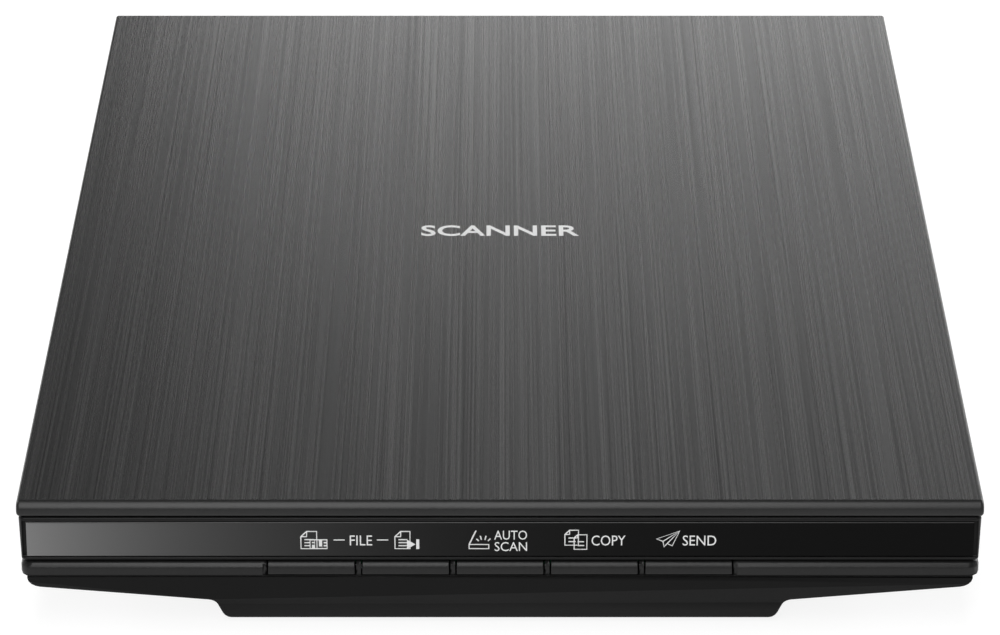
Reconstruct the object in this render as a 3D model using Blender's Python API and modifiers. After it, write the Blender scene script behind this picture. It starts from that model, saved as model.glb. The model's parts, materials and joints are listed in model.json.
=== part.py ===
"""A4 flatbed document scanner, for Blender 4.5.

The scanner stands on Z = 0, centred on X and Y, with its buttons at the front (-Y) and the lid's
hinges at the back (+Y). It has a lid on lifting hinges, a two-part casing with a glass platen, five
push buttons under a glossy label panel, and a motorised image sensor that crawls along a guide shaft.

Run it with: blender --background --python part.py
"""

import math

import bmesh
import bpy
from mathutils import Matrix, Vector

MM = 0.001

# ---------------------------------------------------------------- overall sizes
WIDTH = 250 * MM  # across the lid
DEPTH = 367 * MM  # front to back of the lid
HEIGHT = 42 * MM  # table to lid top

# ---------------------------------------------------------------- clearances
GAP = 0.3 * MM  # between fixed pieces that touch
SLIDE = 0.15 * MM  # round a piece that slides or turns in another
SHADOW_GAP = 0.4 * MM  # the visible line round a button or between casings
OVERLAP = 0.01 * MM  # keeps the faces of two solids that are joined from lying in one plane

# ---------------------------------------------------------------- lid
LID_EDGE = 4.2 * MM  # height of the lid's rim
LID_SKIN = 1.5 * MM
LID_RIM = 1.8 * MM
LID_TOP_ROUND = 1.3 * MM
LID_LOW_ROUND = 0.8 * MM
LID_CORNER = 2.0 * MM
LINER = 1.2 * MM
FOAM = 1.35 * MM
MAT = 0.5 * MM
MAT_MARGIN = 2.0 * MM  # the mat inside the platen opening

# ---------------------------------------------------------------- upper casing and platen
PLATE = 2.0 * MM  # the bezel round the glass
UPPER_HEIGHT = 12.1 * MM
UPPER_WALL = 1.8 * MM
UPPER_INSET = 0.4 * MM  # sides of the upper casing inside the lid's edge
UPPER_FRONT_INSET = 0.9 * MM
UPPER_REAR_INSET = 2.9 * MM
UPPER_TAPER = 0.4 * MM
BEZEL_SIDE = 15.5 * MM  # lid edge to platen opening
BEZEL_FRONT = 33.25 * MM
BEZEL_REAR = 33.25 * MM
GLASS = 2.6 * MM
GLASS_SEAT = 5.0 * MM  # glass hidden under the bezel, at the sides and back
GLASS_FRONT_SEAT = 9.5 * MM
TAPE = 0.25 * MM
CALIBRATION_DEPTH = 6.0 * MM
CALIBRATION_THICK = 0.2 * MM

# ---------------------------------------------------------------- label panel
PANEL_HEIGHT = 9.8 * MM
PANEL_THICK = 1.2 * MM
PANEL_LIP = 0.6 * MM  # casing under the panel
PANEL_SIDE_WALL = 0.9 * MM
PANEL_SIDE_GAP = 0.7 * MM

# ---------------------------------------------------------------- lower casing
WALL = 2.0 * MM
RIB_HEIGHT = 4.8 * MM  # the rounded band that the buttons sit in
RIB_INSET = 0.5 * MM
RIB_FRONT_INSET = 1.1 * MM
RIB_REAR_INSET = 1.6 * MM
RIB_ROUND = 2.2 * MM
RIB_LOW_ROUND = 0.6 * MM
HULL_INSET = 1.4 * MM  # hull inside the rib
HULL_FRONT_SLANT = math.radians(31.8)
HULL_REAR_SLANT = math.radians(15)
PEDESTAL_HALF = 72.2 * MM
PEDESTAL_DRAFT = 2.4 * MM
ROOT_DROP = 10.9 * MM  # rib's low edge to the wing's root
WING_DROP = 4.9 * MM  # rib's low edge to the wing's tip
HULL_ROUND = 3.5 * MM
FOOT_HEIGHT = 1.5 * MM
TONGUE = 1.2 * MM
TONGUE_HEIGHT = 2.0 * MM

# ---------------------------------------------------------------- buttons
BUTTON_NAMES = (
    "file_scan_button",
    "file_finish_button",
    "auto_scan_button",
    "copy_button",
    "send_button",
)
BUTTON_PITCH = 24.5 * MM
BUTTON_WIDTH = 22.5 * MM
BUTTON_DEPTH = 2.9 * MM
BUTTON_TRAVEL = 0.8 * MM
BUTTON_LIP = 0.35 * MM  # casing under a button
STEM_WIDTH = 4.0 * MM
STEM_HEIGHT = 2.4 * MM
SWITCH = Vector((6.0, 3.0, 3.4)) * MM
BOARD = 1.6 * MM

# ---------------------------------------------------------------- hinges
HINGE_INSET = 41.0 * MM  # lid edge to the middle of a hinge
HINGE_BACK = 2.5 * MM  # hinge axis to the lid's rear edge
LIFT_TRAVEL = 14.0 * MM
POST = Vector((14.0, 5.5, 0.0)) * MM
POST_BACK = 7.0 * MM  # hinge axis to the post's rear face
POST_FOOT = 1.0 * MM  # the foot stands out by this at each side
POST_GUIDE = 6.0 * MM  # height of the foot
WELL_WALL = 1.4 * MM
KNUCKLE_RADIUS = 2.3 * MM
KNUCKLE_WIDTH = 10.0 * MM
EAR_WIDTH = 3.0 * MM
PIN_RADIUS = 1.2 * MM
BRACKET_DEPTH = 16.0 * MM

# ---------------------------------------------------------------- scan drive
HOME_BACK = 29.5 * MM  # lid's front edge to the sensor line at home
HOME_END_GAP = 1.25 * MM  # end of the travel short of the platen opening's rear
SHAFT_RADIUS = 3.0 * MM
SHAFT_RISE = 6.5 * MM  # shaft's axis above the casing floor
SLEEVE_HALF = 7.0 * MM
SLEEVE_FRONT = 11.0 * MM
SLEEVE_BACK = 18.0 * MM
BUSHING_WALL = 1.4 * MM
BUSHING_LENGTH = 5.0 * MM
SEAT_LENGTH = 5.0 * MM
RACK_MODULE = 1.0 * MM
RACK_TEETH_ON_GEAR = 14
WHEEL_MODULE = 0.6 * MM
WHEEL_TEETH = 40
PINION_TEETH = 12
PRESSURE_ANGLE = math.radians(25)
BACKLASH = 0.12 * MM
GEAR_X = 30.0 * MM
GEAR_THICK = 2.8 * MM
RACK_THICK = 3.6 * MM
RACK_BACKING = 3.6 * MM
AXLE_RADIUS = 1.5 * MM
MOTOR_RADIUS = 11.0 * MM
MOTOR_ANGLE = math.radians(54.8)  # direction of the motor seen from the drive gear

# ---------------------------------------------------------------- sensor head
SENSOR_REACH = 6.5 * MM  # half the head beyond the platen opening
SENSOR_DEPTH = 16.0 * MM
SENSOR_HEIGHT = 10.3 * MM
SENSOR_TOP_GAP = 0.85 * MM  # housing under the glass
SLIDER = Vector((5.0, 12.0, 1.2)) * MM
FLOAT_TRAVEL = 0.8 * MM
TRAY = 1.5 * MM
TRAY_HALF = 100.0 * MM
TRAY_LIP = 5.5 * MM
SPRING_X = 58.0 * MM
SPRING_RADIUS = 2.6 * MM
SPRING_WIRE = 0.3 * MM
SPRING_TURNS = 4
CUP_DEPTH = 6.5 * MM
CUP_WALL = 1.0 * MM

# ---------------------------------------------------------------- transport lock
LOCK_X = -25.0 * MM
LOCK_TRAVEL = 6.0 * MM
LOCK_WIDTH = 4.0 * MM
LOCK_FORWARD = 4.0 * MM  # lock behind the sensor line at home

# ---------------------------------------------------------------- electronics, feet and screws
BOARD_WIDTH = 48.0 * MM
BOARD_DEPTH = 84.0 * MM
BOARD_SIDE = 7.2 * MM  # pedestal's side to the main board
BOARD_END = 3.4 * MM  # pedestal's rear end to the main board
BOARD_RISE = 2.3 * MM
USB_WIDTH = 9.0 * MM
USB_HEIGHT = 3.2 * MM
USB_LENGTH = 8.0 * MM
RIBBON_THICK = 0.3 * MM
PANEL_RIBBON = 5.0 * MM  # widths of the two flat cables
PANEL_RIBBON_SIDE = 9.0 * MM  # main board's left edge to the middle of each
CARRIAGE_RIBBON = 20.0 * MM
CARRIAGE_RIBBON_SIDE = 23.0 * MM
SOCKET = Vector((22.0, 5.0, 2.4)) * MM
PROCESSOR = Vector((14.0, 14.0, 1.6)) * MM
PROCESSOR_BACK = 34.0 * MM
FOOT_RADIUS = 6.0 * MM
FOOT_SIDE = 14.2 * MM  # pedestal's side to the foot's centre
FOOT_EDGE = 18.0 * MM  # foot's centre inside the pedestal's ends
FOOT_SEAT = 0.8 * MM
SCREW_INSET = 13.0 * MM
SCREW_END = 16.0 * MM
SCREW_RADIUS = 1.4 * MM
SCREW_HEAD = 2.7 * MM
SCREW_LENGTH = 13.0 * MM
BUMPER_RADIUS = 3.0 * MM

# ---------------------------------------------------------------- levels worked out from the sizes
LID_LOW = HEIGHT - LID_EDGE
LID_INSIDE = HEIGHT - LID_SKIN
BEZEL_TOP = LID_LOW - GAP
PLATE_LOW = BEZEL_TOP - PLATE
UPPER_LOW = BEZEL_TOP - UPPER_HEIGHT
RIB_TOP = UPPER_LOW - SHADOW_GAP
RIB_LOW = RIB_TOP - RIB_HEIGHT
HULL_LOW = FOOT_HEIGHT
FLOOR = HULL_LOW + WALL
TAPE_TOP = PLATE_LOW - GAP / 3
GLASS_TOP = TAPE_TOP - TAPE - GAP / 3
GLASS_LOW = GLASS_TOP - GLASS
SENSOR_TOP = GLASS_LOW - SENSOR_TOP_GAP
SENSOR_LOW = SENSOR_TOP - SENSOR_HEIGHT
TRAY_TOP = SENSOR_LOW - FLOAT_TRAVEL - GAP
TRAY_LOW = TRAY_TOP - TRAY
SHAFT_Z = FLOOR + SHAFT_RISE
RACK_LOW = FLOOR + GAP
WHEEL_LOW = RACK_LOW + RACK_THICK + 2 * GAP
BRACKET_LOW = WHEEL_LOW + GEAR_THICK + 2 * GAP
BRACKET_TOP = BRACKET_LOW + 1.2 * MM

# ---------------------------------------------------------------- places worked out from the sizes
HALF_WIDTH = WIDTH / 2
FRONT = -DEPTH / 2
REAR = DEPTH / 2
UPPER_FRONT = FRONT + UPPER_FRONT_INSET
UPPER_REAR = REAR - UPPER_REAR_INSET
UPPER_HALF = HALF_WIDTH - UPPER_INSET
RIB_HALF = HALF_WIDTH - RIB_INSET
RIB_FRONT = FRONT + RIB_FRONT_INSET
RIB_REAR = REAR - RIB_REAR_INSET
HULL_HALF = RIB_HALF - HULL_INSET
HULL_FRONT = RIB_FRONT + HULL_INSET
HULL_REAR = RIB_REAR - HULL_INSET
HULL_DEEP = RIB_LOW + GAP - HULL_LOW
FOOT_X = PEDESTAL_HALF - FOOT_SIDE
PEDESTAL_FRONT = HULL_FRONT + HULL_DEEP * math.tan(HULL_FRONT_SLANT)
PEDESTAL_REAR = HULL_REAR - HULL_DEEP * math.tan(HULL_REAR_SLANT)
BOARD_LOW_X = -PEDESTAL_HALF + BOARD_SIDE
BOARD_LOW_Y = PEDESTAL_REAR - BOARD_END - BOARD_DEPTH
OPENING_HALF = HALF_WIDTH - BEZEL_SIDE
OPENING_FRONT = FRONT + BEZEL_FRONT
OPENING_REAR = REAR - BEZEL_REAR
AXIS_Y = REAR - HINGE_BACK
AXIS_Z = (LID_LOW + BEZEL_TOP) / 2
HINGE_X = HALF_WIDTH - HINGE_INSET
HOME_Y = FRONT + HOME_BACK
SCAN_TRAVEL = OPENING_REAR - HOME_END_GAP - HOME_Y
SENSOR_HALF = OPENING_HALF + SENSOR_REACH
BUTTON_LOW = RIB_LOW + BUTTON_LIP + GAP / 2
BUTTON_FRONT = RIB_FRONT
BUTTON_ROW_HALF = BUTTON_PITCH * (len(BUTTON_NAMES) - 1) / 2
SIDES = {"left": -1, "right": 1}

PARTS = "flatbed_scanner"
CUTTERS = "cutters"


# ================================================================ scene helpers
def clear_scene():
    for old in list(bpy.data.objects):
        bpy.data.objects.remove(old)
    for name in (PARTS, CUTTERS):
        found = bpy.data.collections.new(name)
        bpy.context.scene.collection.children.link(found)


def material(name, color, roughness, metallic=0.0, alpha=1.0):
    made = bpy.data.materials.new(name)
    made.use_nodes = True
    shader = made.node_tree.nodes["Principled BSDF"]
    shader.inputs["Base Color"].default_value = (*color, 1)
    shader.inputs["Roughness"].default_value = roughness
    shader.inputs["Metallic"].default_value = metallic
    shader.inputs["Alpha"].default_value = alpha
    made.diffuse_color = (*color, alpha)
    return made


def place(mesh, name, location=(0, 0, 0), rotation=(0, 0, 0)):
    """A new object for the mesh, shaded smooth up to 35 degrees."""
    mesh.shade_smooth()
    mesh.set_sharp_from_angle(angle=math.radians(35))
    obj = bpy.data.objects.new(name, mesh)
    obj.location = location
    obj.rotation_euler = rotation
    bpy.data.collections[PARTS].objects.link(obj)
    return obj


def as_cutter(obj):
    """Hides a helper from the render, so that it is not a part."""
    obj.hide_render = True
    obj.display_type = "WIRE"
    bpy.data.collections[PARTS].objects.unlink(obj)
    bpy.data.collections[CUTTERS].objects.link(obj)


def boolean(obj, other, operation):
    step = obj.modifiers.new(f"{operation.lower()} {other.name}", "BOOLEAN")
    step.operation = operation
    step.object = other
    as_cutter(other)


def cut(obj, *others):
    for other in others:
        boolean(obj, other, "DIFFERENCE")
    return obj


def join(obj, *others):
    for other in others:
        boolean(obj, other, "UNION")
    return obj


def finish(obj, coat):
    obj.data.materials.clear()
    obj.data.materials.append(coat)
    return obj


# ================================================================ shape helpers
def slab(name, low, high, corner=0.0, top=0.0, bottom=0.0, steps=3, taper=0.0):
    """A box between two corners, with its upright, top and bottom edges rounded and its foot drawn in."""
    low, high = Vector(low), Vector(high)
    size = high - low
    bm = bmesh.new()
    bmesh.ops.create_cube(bm, size=1.0, matrix=Matrix.Diagonal((*size, 1)))
    half_height = size.z / 2
    for vert in bm.verts:
        if taper and vert.co.z < 0:
            vert.co.x -= math.copysign(taper, vert.co.x)
    if corner:
        upright = [e for e in bm.edges if e.verts[0].co.z * e.verts[1].co.z < 0]
        round_edges(bm, upright, corner, steps)
    for radius, level in ((top, half_height), (bottom, -half_height)):
        if radius:
            ring = [e for e in bm.edges if all(abs(v.co.z - level) < 1e-7 for v in e.verts)]
            round_edges(bm, ring, radius, steps)
    mesh = bpy.data.meshes.new(name)
    bm.to_mesh(mesh)
    bm.free()
    return place(mesh, name, location=(low + high) / 2)


def round_edges(bm, edges, radius, steps):
    bmesh.ops.bevel(
        bm, geom=edges, offset=radius, offset_type="OFFSET", segments=steps, profile=0.5, affect="EDGES"
    )


def column(name, x, y, low, high, radius, sides=24, along="Z"):
    """A round bar. Along Z, x and y place it; along X or Y they are the other two coordinates."""
    bm = bmesh.new()
    length = high - low
    middle = (low + high) / 2
    bmesh.ops.create_cone(
        bm, cap_ends=True, segments=sides, radius1=radius, radius2=radius, depth=length
    )
    turn = {"X": Matrix.Rotation(math.pi / 2, 4, "Y"), "Y": Matrix.Rotation(math.pi / 2, 4, "X")}
    bm.transform(turn.get(along, Matrix.Identity(4)))
    mesh = bpy.data.meshes.new(name)
    bm.to_mesh(mesh)
    bm.free()
    location = {"Z": (x, y, middle), "X": (middle, x, y), "Y": (x, middle, y)}[along]
    return place(mesh, name, location=location)


def prism(name, outline, along, low, high):
    """A flat outline pushed along an axis.

    Its points are (y, z) along X, (x, z) along Y and (x, y) along Z.
    """
    curve = bpy.data.curves.new(name, "CURVE")
    curve.dimensions = "2D"
    curve.fill_mode = "BOTH"
    curve.extrude = (high - low) / 2
    spline = curve.splines.new("POLY")
    spline.points.add(len(outline) - 1)
    for point, (u, v) in zip(spline.points, outline):
        point.co = (u, v, 0, 1)
    spline.use_cyclic_u = True
    flat = bpy.data.objects.new(name + "_outline", curve)
    bpy.context.scene.collection.objects.link(flat)
    bpy.context.view_layer.update()
    graph = bpy.context.evaluated_depsgraph_get()
    mesh = bpy.data.meshes.new_from_object(flat.evaluated_get(graph))
    bpy.data.objects.remove(flat)
    bm = bmesh.new()
    bm.from_mesh(mesh)
    bmesh.ops.remove_doubles(bm, verts=bm.verts, dist=1e-7)
    bmesh.ops.recalc_face_normals(bm, faces=bm.faces)
    bm.to_mesh(mesh)
    bm.free()
    middle = (low + high) / 2
    location, rotation = {
        "X": ((middle, 0, 0), (math.pi / 2, 0, math.pi / 2)),
        "Y": ((0, middle, 0), (math.pi / 2, 0, 0)),
        "Z": ((0, 0, middle), (0, 0, 0)),
    }[along]
    return place(mesh, name, location, rotation)


def rounded(corners, steps=4):
    """The closed outline through (u, v, radius) corners, with each corner turned into an arc."""
    points = []
    for i, (u, v, radius) in enumerate(corners):
        here = Vector((u, v))
        before = Vector(corners[i - 1][:2])
        after = Vector(corners[(i + 1) % len(corners)][:2])
        arrive = (here - before).normalized()
        leave = (after - here).normalized()
        turn = arrive.angle_signed(leave)
        if radius < 1e-6 or abs(turn) < 1e-3:
            points.append(here)
            continue
        reach = radius * math.tan(abs(turn) / 2)
        reach = min(reach, 0.49 * (here - before).length, 0.49 * (after - here).length)
        bend = reach / math.tan(abs(turn) / 2)
        start = here - arrive * reach
        side = Vector((arrive.y, -arrive.x)) * math.copysign(1, turn)
        centre = start + side * bend
        for step in range(steps + 1):
            angle = -turn * step / steps
            points.append(centre + Matrix.Rotation(angle, 2) @ (start - centre))
    return [tuple(p) for p in points]


def inset(corners, distance):
    """The same corners moved inwards by a wall's thickness. The corners run anticlockwise."""
    moved = []
    for i, (u, v, radius) in enumerate(corners):
        here = Vector((u, v))
        arrive = (here - Vector(corners[i - 1][:2])).normalized()
        leave = (Vector(corners[(i + 1) % len(corners)][:2]) - here).normalized()
        normals = [Vector((-d.y, d.x)) for d in (arrive, leave)]
        share = 1 + normals[0].dot(normals[1])
        point = here + (normals[0] + normals[1]) * (distance / share)
        convex = arrive.x * leave.y - arrive.y * leave.x > 0
        grown = radius - distance if convex else radius + distance
        moved.append((point.x, point.y, max(grown, 0.0) if radius else 0.0))
    return moved


def ribbon(name, route, middle, width):
    """A flat cable: the route's (y, z) points pushed along X and given a thickness."""
    bm = bmesh.new()
    rows = [[bm.verts.new((x, y, z)) for y, z in route] for x in (middle - width / 2, middle + width / 2)]
    for i in range(len(route) - 1):
        bm.faces.new((rows[0][i], rows[1][i], rows[1][i + 1], rows[0][i + 1]))
    mesh = bpy.data.meshes.new(name)
    bm.to_mesh(mesh)
    bm.free()
    obj = place(mesh, name)
    thick = obj.modifiers.new("thickness", "SOLIDIFY")
    thick.thickness = RIBBON_THICK
    thick.offset = 0
    return obj


# ================================================================ lid
def lid_cover(coat):
    cover = slab(
        "lid_cover",
        (-HALF_WIDTH, FRONT, LID_LOW),
        (HALF_WIDTH, REAR, HEIGHT),
        corner=LID_CORNER,
        top=LID_TOP_ROUND,
        bottom=LID_LOW_ROUND,
        steps=4,
    )
    hollow = slab(
        "lid_hollow",
        (-HALF_WIDTH + LID_RIM, FRONT + LID_RIM, LID_LOW - LID_EDGE),
        (HALF_WIDTH - LID_RIM, REAR - LID_RIM, LID_INSIDE),
    )
    cut(cover, hollow)
    half = KNUCKLE_WIDTH / 2 + EAR_WIDTH + 2 * SHADOW_GAP
    for side, sign in SIDES.items():
        x = sign * HINGE_X
        notch = slab(
            f"lid_notch_{side}",
            (x - half, REAR - 2 * LID_RIM, LID_LOW - LID_EDGE),
            (x + half, REAR + LID_RIM, LID_INSIDE - GAP / 3),
        )
        cut(cover, notch)
    return finish(cover, coat)


def lid_liner(coat):
    low = LID_LOW + GAP / 2
    liner = slab(
        "lid_liner",
        (-HALF_WIDTH + LID_RIM + GAP, FRONT + LID_RIM + GAP, low),
        (HALF_WIDTH - LID_RIM - GAP, AXIS_Y - KNUCKLE_RADIUS - 2 * GAP, low + LINER),
    )
    for side, sign in SIDES.items():
        x = sign * HINGE_X
        half = bracket_half() + GAP
        gap_for_bracket = slab(
            f"liner_gap_{side}",
            (x - half, bracket_front() - GAP, low - LINER),
            (x + half, REAR, low + 2 * LINER),
        )
        cut(liner, gap_for_bracket)
    return finish(liner, coat)


def bracket_half():
    return KNUCKLE_WIDTH / 2 + EAR_WIDTH + SHADOW_GAP


def bracket_front():
    return AXIS_Y - BRACKET_DEPTH


def lid_mat(foam_coat, mat_coat):
    """The pad that presses a page to the glass: foam faced with a white sheet."""
    half = OPENING_HALF - MAT_MARGIN
    front, rear = OPENING_FRONT + MAT_MARGIN, OPENING_REAR - MAT_MARGIN
    foam_top = LID_LOW + GAP / 2 - GAP
    foam_low = foam_top - FOAM
    foam = slab("mat_foam", (-half, front, foam_low), (half, rear, foam_top), corner=LID_CORNER)
    mat_top = foam_low - GAP
    mat = slab("document_mat", (-half, front, mat_top - MAT), (half, rear, mat_top), corner=LID_CORNER)
    return finish(foam, foam_coat), finish(mat, mat_coat)


def hinge_bracket(side, sign, coat):
    """The plate under the lid and its two ears round the hinge's knuckle."""
    x = sign * HINGE_X
    half = bracket_half()
    low = LID_LOW + GAP / 2
    top = LID_INSIDE - GAP
    bracket = slab(
        f"hinge_bracket_{side}",
        (x - half, bracket_front(), low),
        (x + half, AXIS_Y - KNUCKLE_RADIUS - GAP, top),
    )
    ears = []
    for edge in (-1, 1):
        middle = x + edge * (KNUCKLE_WIDTH / 2 + SHADOW_GAP + EAR_WIDTH / 2)
        ear_low, ear_high = middle - EAR_WIDTH / 2, middle + EAR_WIDTH / 2
        arm = slab(
            f"ear_arm_{side}_{edge}",
            (ear_low + OVERLAP, AXIS_Y - KNUCKLE_RADIUS - EAR_WIDTH, low + OVERLAP),
            (ear_high - OVERLAP, AXIS_Y, top - OVERLAP),
        )
        eye = column(f"ear_eye_{side}_{edge}", AXIS_Y, AXIS_Z, ear_low, ear_high, KNUCKLE_RADIUS, along="X")
        ears += [arm, eye]
    join(bracket, *ears)
    bore = column(
        f"ear_bore_{side}", AXIS_Y, AXIS_Z, x - WIDTH / 8, x + WIDTH / 8, PIN_RADIUS + SLIDE, along="X"
    )
    return finish(cut(bracket, bore), coat)


# ================================================================ lifting hinges
def post_outline():
    rear = AXIS_Y - POST_BACK
    return rear - POST.y, rear


def well_bottom():
    return foot_top() - POST_GUIDE


def foot_top():
    return PLATE_LOW - GAP - LIFT_TRAVEL


def hinge_post(side, sign, coat):
    """The post that slides up out of the casing, so that the lid can lie flat on a thick book."""
    x = sign * HINGE_X
    front, rear = post_outline()
    top = BEZEL_TOP - GAP / 2
    post = slab(
        f"hinge_post_{side}", (x - POST.x / 2, front, well_bottom()), (x + POST.x / 2, rear, top)
    )
    foot = slab(
        f"post_foot_{side}",
        (x - POST.x / 2 - POST_FOOT, front + OVERLAP, well_bottom() + OVERLAP),
        (x + POST.x / 2 + POST_FOOT, rear - OVERLAP, foot_top()),
    )
    arm = slab(
        f"post_arm_{side}",
        (x - KNUCKLE_WIDTH / 2, rear - POST.y / 2, AXIS_Z - KNUCKLE_RADIUS),
        (x + KNUCKLE_WIDTH / 2, AXIS_Y, top - OVERLAP),
    )
    knuckle = column(
        f"post_knuckle_{side}",
        AXIS_Y,
        AXIS_Z,
        x - KNUCKLE_WIDTH / 2 - OVERLAP,
        x + KNUCKLE_WIDTH / 2 + OVERLAP,
        KNUCKLE_RADIUS,
        along="X",
    )
    join(post, foot, arm, knuckle)
    bore = column(
        f"post_bore_{side}", AXIS_Y, AXIS_Z, x - WIDTH / 8, x + WIDTH / 8, PIN_RADIUS + SLIDE, along="X"
    )
    return finish(cut(post, bore), coat)


def hinge_pin(side, sign, coat):
    x = sign * HINGE_X
    half = bracket_half()
    return finish(
        column(f"hinge_pin_{side}", AXIS_Y, AXIS_Z, x - half, x + half, PIN_RADIUS, sides=16, along="X"), coat
    )


# ================================================================ upper casing
def upper_casing(coat):
    casing = slab(
        "upper_casing",
        (-UPPER_HALF, UPPER_FRONT, UPPER_LOW),
        (UPPER_HALF, UPPER_REAR, BEZEL_TOP),
        corner=1.5 * MM,
        top=0.7 * MM,
        steps=3,
        taper=UPPER_TAPER,
    )
    front_wall = PANEL_THICK + 2 * GAP + UPPER_WALL
    hollow = slab(
        "upper_hollow",
        (-UPPER_HALF + UPPER_TAPER + UPPER_WALL, UPPER_FRONT + front_wall, UPPER_LOW - UPPER_HEIGHT),
        (UPPER_HALF - UPPER_TAPER - UPPER_WALL, UPPER_REAR - UPPER_WALL, PLATE_LOW),
    )
    opening = slab(
        "platen_opening",
        (-OPENING_HALF, OPENING_FRONT, PLATE_LOW - PLATE),
        (OPENING_HALF, OPENING_REAR, BEZEL_TOP + PLATE),
        corner=1.0 * MM,
        steps=2,
    )
    cut(casing, hollow, opening, panel_recess())
    for side, sign in SIDES.items():
        join(casing, hinge_well(side, sign))
        cut(casing, *hinge_cuts(side, sign))
        for end, y in screw_rows().items():
            x = sign * (HALF_WIDTH - SCREW_INSET)
            radius = SCREW_HEAD + 0.5 * MM
            boss = column(
                f"upper_boss_{end}_{side}", x, y, screw_split() + GAP, PLATE_LOW + PLATE / 2, radius
            )
            hole = column(
                f"upper_hole_{end}_{side}", x, y, RIB_LOW, PLATE_LOW - PLATE / 2, SCREW_RADIUS + SLIDE
            )
            join(casing, boss)
            cut(casing, hole)
        cut(casing, bumper_seat(side, sign))
    return finish(casing, coat)


def panel_half():
    return UPPER_HALF - PANEL_SIDE_WALL - PANEL_SIDE_GAP


def panel_low():
    return UPPER_LOW + PANEL_LIP + GAP


def panel_recess():
    """The pocket in the casing's front that the label panel lies in."""
    return slab(
        "panel_recess",
        (-panel_half() - PANEL_SIDE_GAP, UPPER_FRONT - PANEL_THICK, panel_low() - GAP),
        (panel_half() + PANEL_SIDE_GAP, UPPER_FRONT + PANEL_THICK + GAP, panel_low() + PANEL_HEIGHT + GAP),
    )


def hinge_well(side, sign):
    """The socket under the bezel that guides a hinge post."""
    x = sign * HINGE_X
    front, rear = post_outline()
    half = POST.x / 2 + POST_FOOT + SLIDE + WELL_WALL
    return slab(
        f"hinge_well_{side}",
        (x - half, front - SLIDE - WELL_WALL, well_bottom()),
        (x + half, rear + SLIDE + WELL_WALL, PLATE_LOW + PLATE / 2),
    )


def hinge_cuts(side, sign):
    """The post's hole in the bezel, the wider shaft under it, and the slot for the hinge arm and ears."""
    x = sign * HINGE_X
    front, rear = post_outline()
    half = POST.x / 2 + SLIDE
    hole = slab(
        f"post_hole_{side}",
        (x - half, front - SLIDE, PLATE_LOW - PLATE),
        (x + half, rear + SLIDE, BEZEL_TOP + PLATE),
    )
    shaft = slab(
        f"post_shaft_{side}",
        (x - half - POST_FOOT, front - 0.9 * SLIDE, well_bottom() - WALL),
        (x + half + POST_FOOT, rear + 0.9 * SLIDE, PLATE_LOW),
    )
    slot_low = AXIS_Z - KNUCKLE_RADIUS - GAP
    arm_half = KNUCKLE_WIDTH / 2 + GAP
    arm_slot = slab(
        f"arm_slot_{side}", (x - arm_half, rear - SLIDE, slot_low), (x + arm_half, REAR, BEZEL_TOP + PLATE)
    )
    ear_half = bracket_half() + SHADOW_GAP
    ear_slot = slab(
        f"ear_slot_{side}",
        (x - ear_half, AXIS_Y - KNUCKLE_RADIUS - 2 * GAP, slot_low + OVERLAP),
        (x + ear_half, REAR + GAP, BEZEL_TOP + 2 * PLATE),
    )
    return hole, shaft, arm_slot, ear_slot


def bumper_place(sign):
    return sign * (OPENING_HALF - 2 * BUMPER_RADIUS), (UPPER_FRONT + OPENING_FRONT) / 2


def bumper_seat(side, sign):
    x, y = bumper_place(sign)
    return column(f"bumper_seat_{side}", x, y, BEZEL_TOP - PLATE / 2, BEZEL_TOP + PLATE, BUMPER_RADIUS + GAP)


def lid_bumper(side, sign, coat):
    x, y = bumper_place(sign)
    low = BEZEL_TOP - PLATE / 2 + GAP / 2
    return finish(column(f"lid_bumper_{side}", x, y, low, BEZEL_TOP + GAP / 2, BUMPER_RADIUS), coat)


# ================================================================ platen
def platen(glass_coat, tape_coat, white_coat):
    half = OPENING_HALF + GLASS_SEAT
    front, rear = OPENING_FRONT - GLASS_FRONT_SEAT, OPENING_REAR + GLASS_SEAT
    glass = slab("platen_glass", (-half, front, GLASS_LOW), (half, rear, GLASS_TOP))
    tape = slab("platen_tape", (-half, front, TAPE_TOP - TAPE), (half, rear, TAPE_TOP))
    window = slab(
        "tape_window",
        (-OPENING_HALF - GAP, OPENING_FRONT - GAP, GLASS_LOW),
        (OPENING_HALF + GAP, OPENING_REAR + GAP, BEZEL_TOP),
    )
    cut(tape, window)
    strip_top = GLASS_LOW - GAP / 6
    strip = slab(
        "calibration_strip",
        (-OPENING_HALF, HOME_Y - CALIBRATION_DEPTH / 2, strip_top - CALIBRATION_THICK),
        (OPENING_HALF, HOME_Y + CALIBRATION_DEPTH / 2, strip_top),
    )
    return finish(glass, glass_coat), finish(tape, tape_coat), finish(strip, white_coat)


def control_panel(coat):
    panel = slab(
        "control_panel",
        (-panel_half(), UPPER_FRONT, panel_low()),
        (panel_half(), UPPER_FRONT + PANEL_THICK, panel_low() + PANEL_HEIGHT),
    )
    return finish(panel, coat)


# ================================================================ lower casing
def hull_section(top):
    """Corners of the hull across the scanner, seen from the front: a pedestal with a wing at each side."""
    root = RIB_LOW - ROOT_DROP
    tip = RIB_LOW - WING_DROP
    right = [
        (PEDESTAL_HALF, HULL_LOW, HULL_ROUND),
        (PEDESTAL_HALF + PEDESTAL_DRAFT, root, HULL_ROUND * 0.8),
        (HULL_HALF, tip, HULL_ROUND),
        (HULL_HALF, top, 0.0),
    ]
    left = [(-x, z, radius) for x, z, radius in reversed(right)]
    return right + left


def hull_profile(top):
    """Corners of the hull along the scanner, seen from the right: both ends lean in towards the foot."""
    return [
        (PEDESTAL_FRONT, HULL_LOW, HULL_ROUND / 2),
        (PEDESTAL_REAR, HULL_LOW, HULL_ROUND),
        (HULL_REAR, RIB_LOW + GAP, 0.0),
        (HULL_REAR, top, 0.0),
        (HULL_FRONT, top, 0.0),
        (HULL_FRONT, RIB_LOW + GAP, 0.0),
    ]


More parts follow.
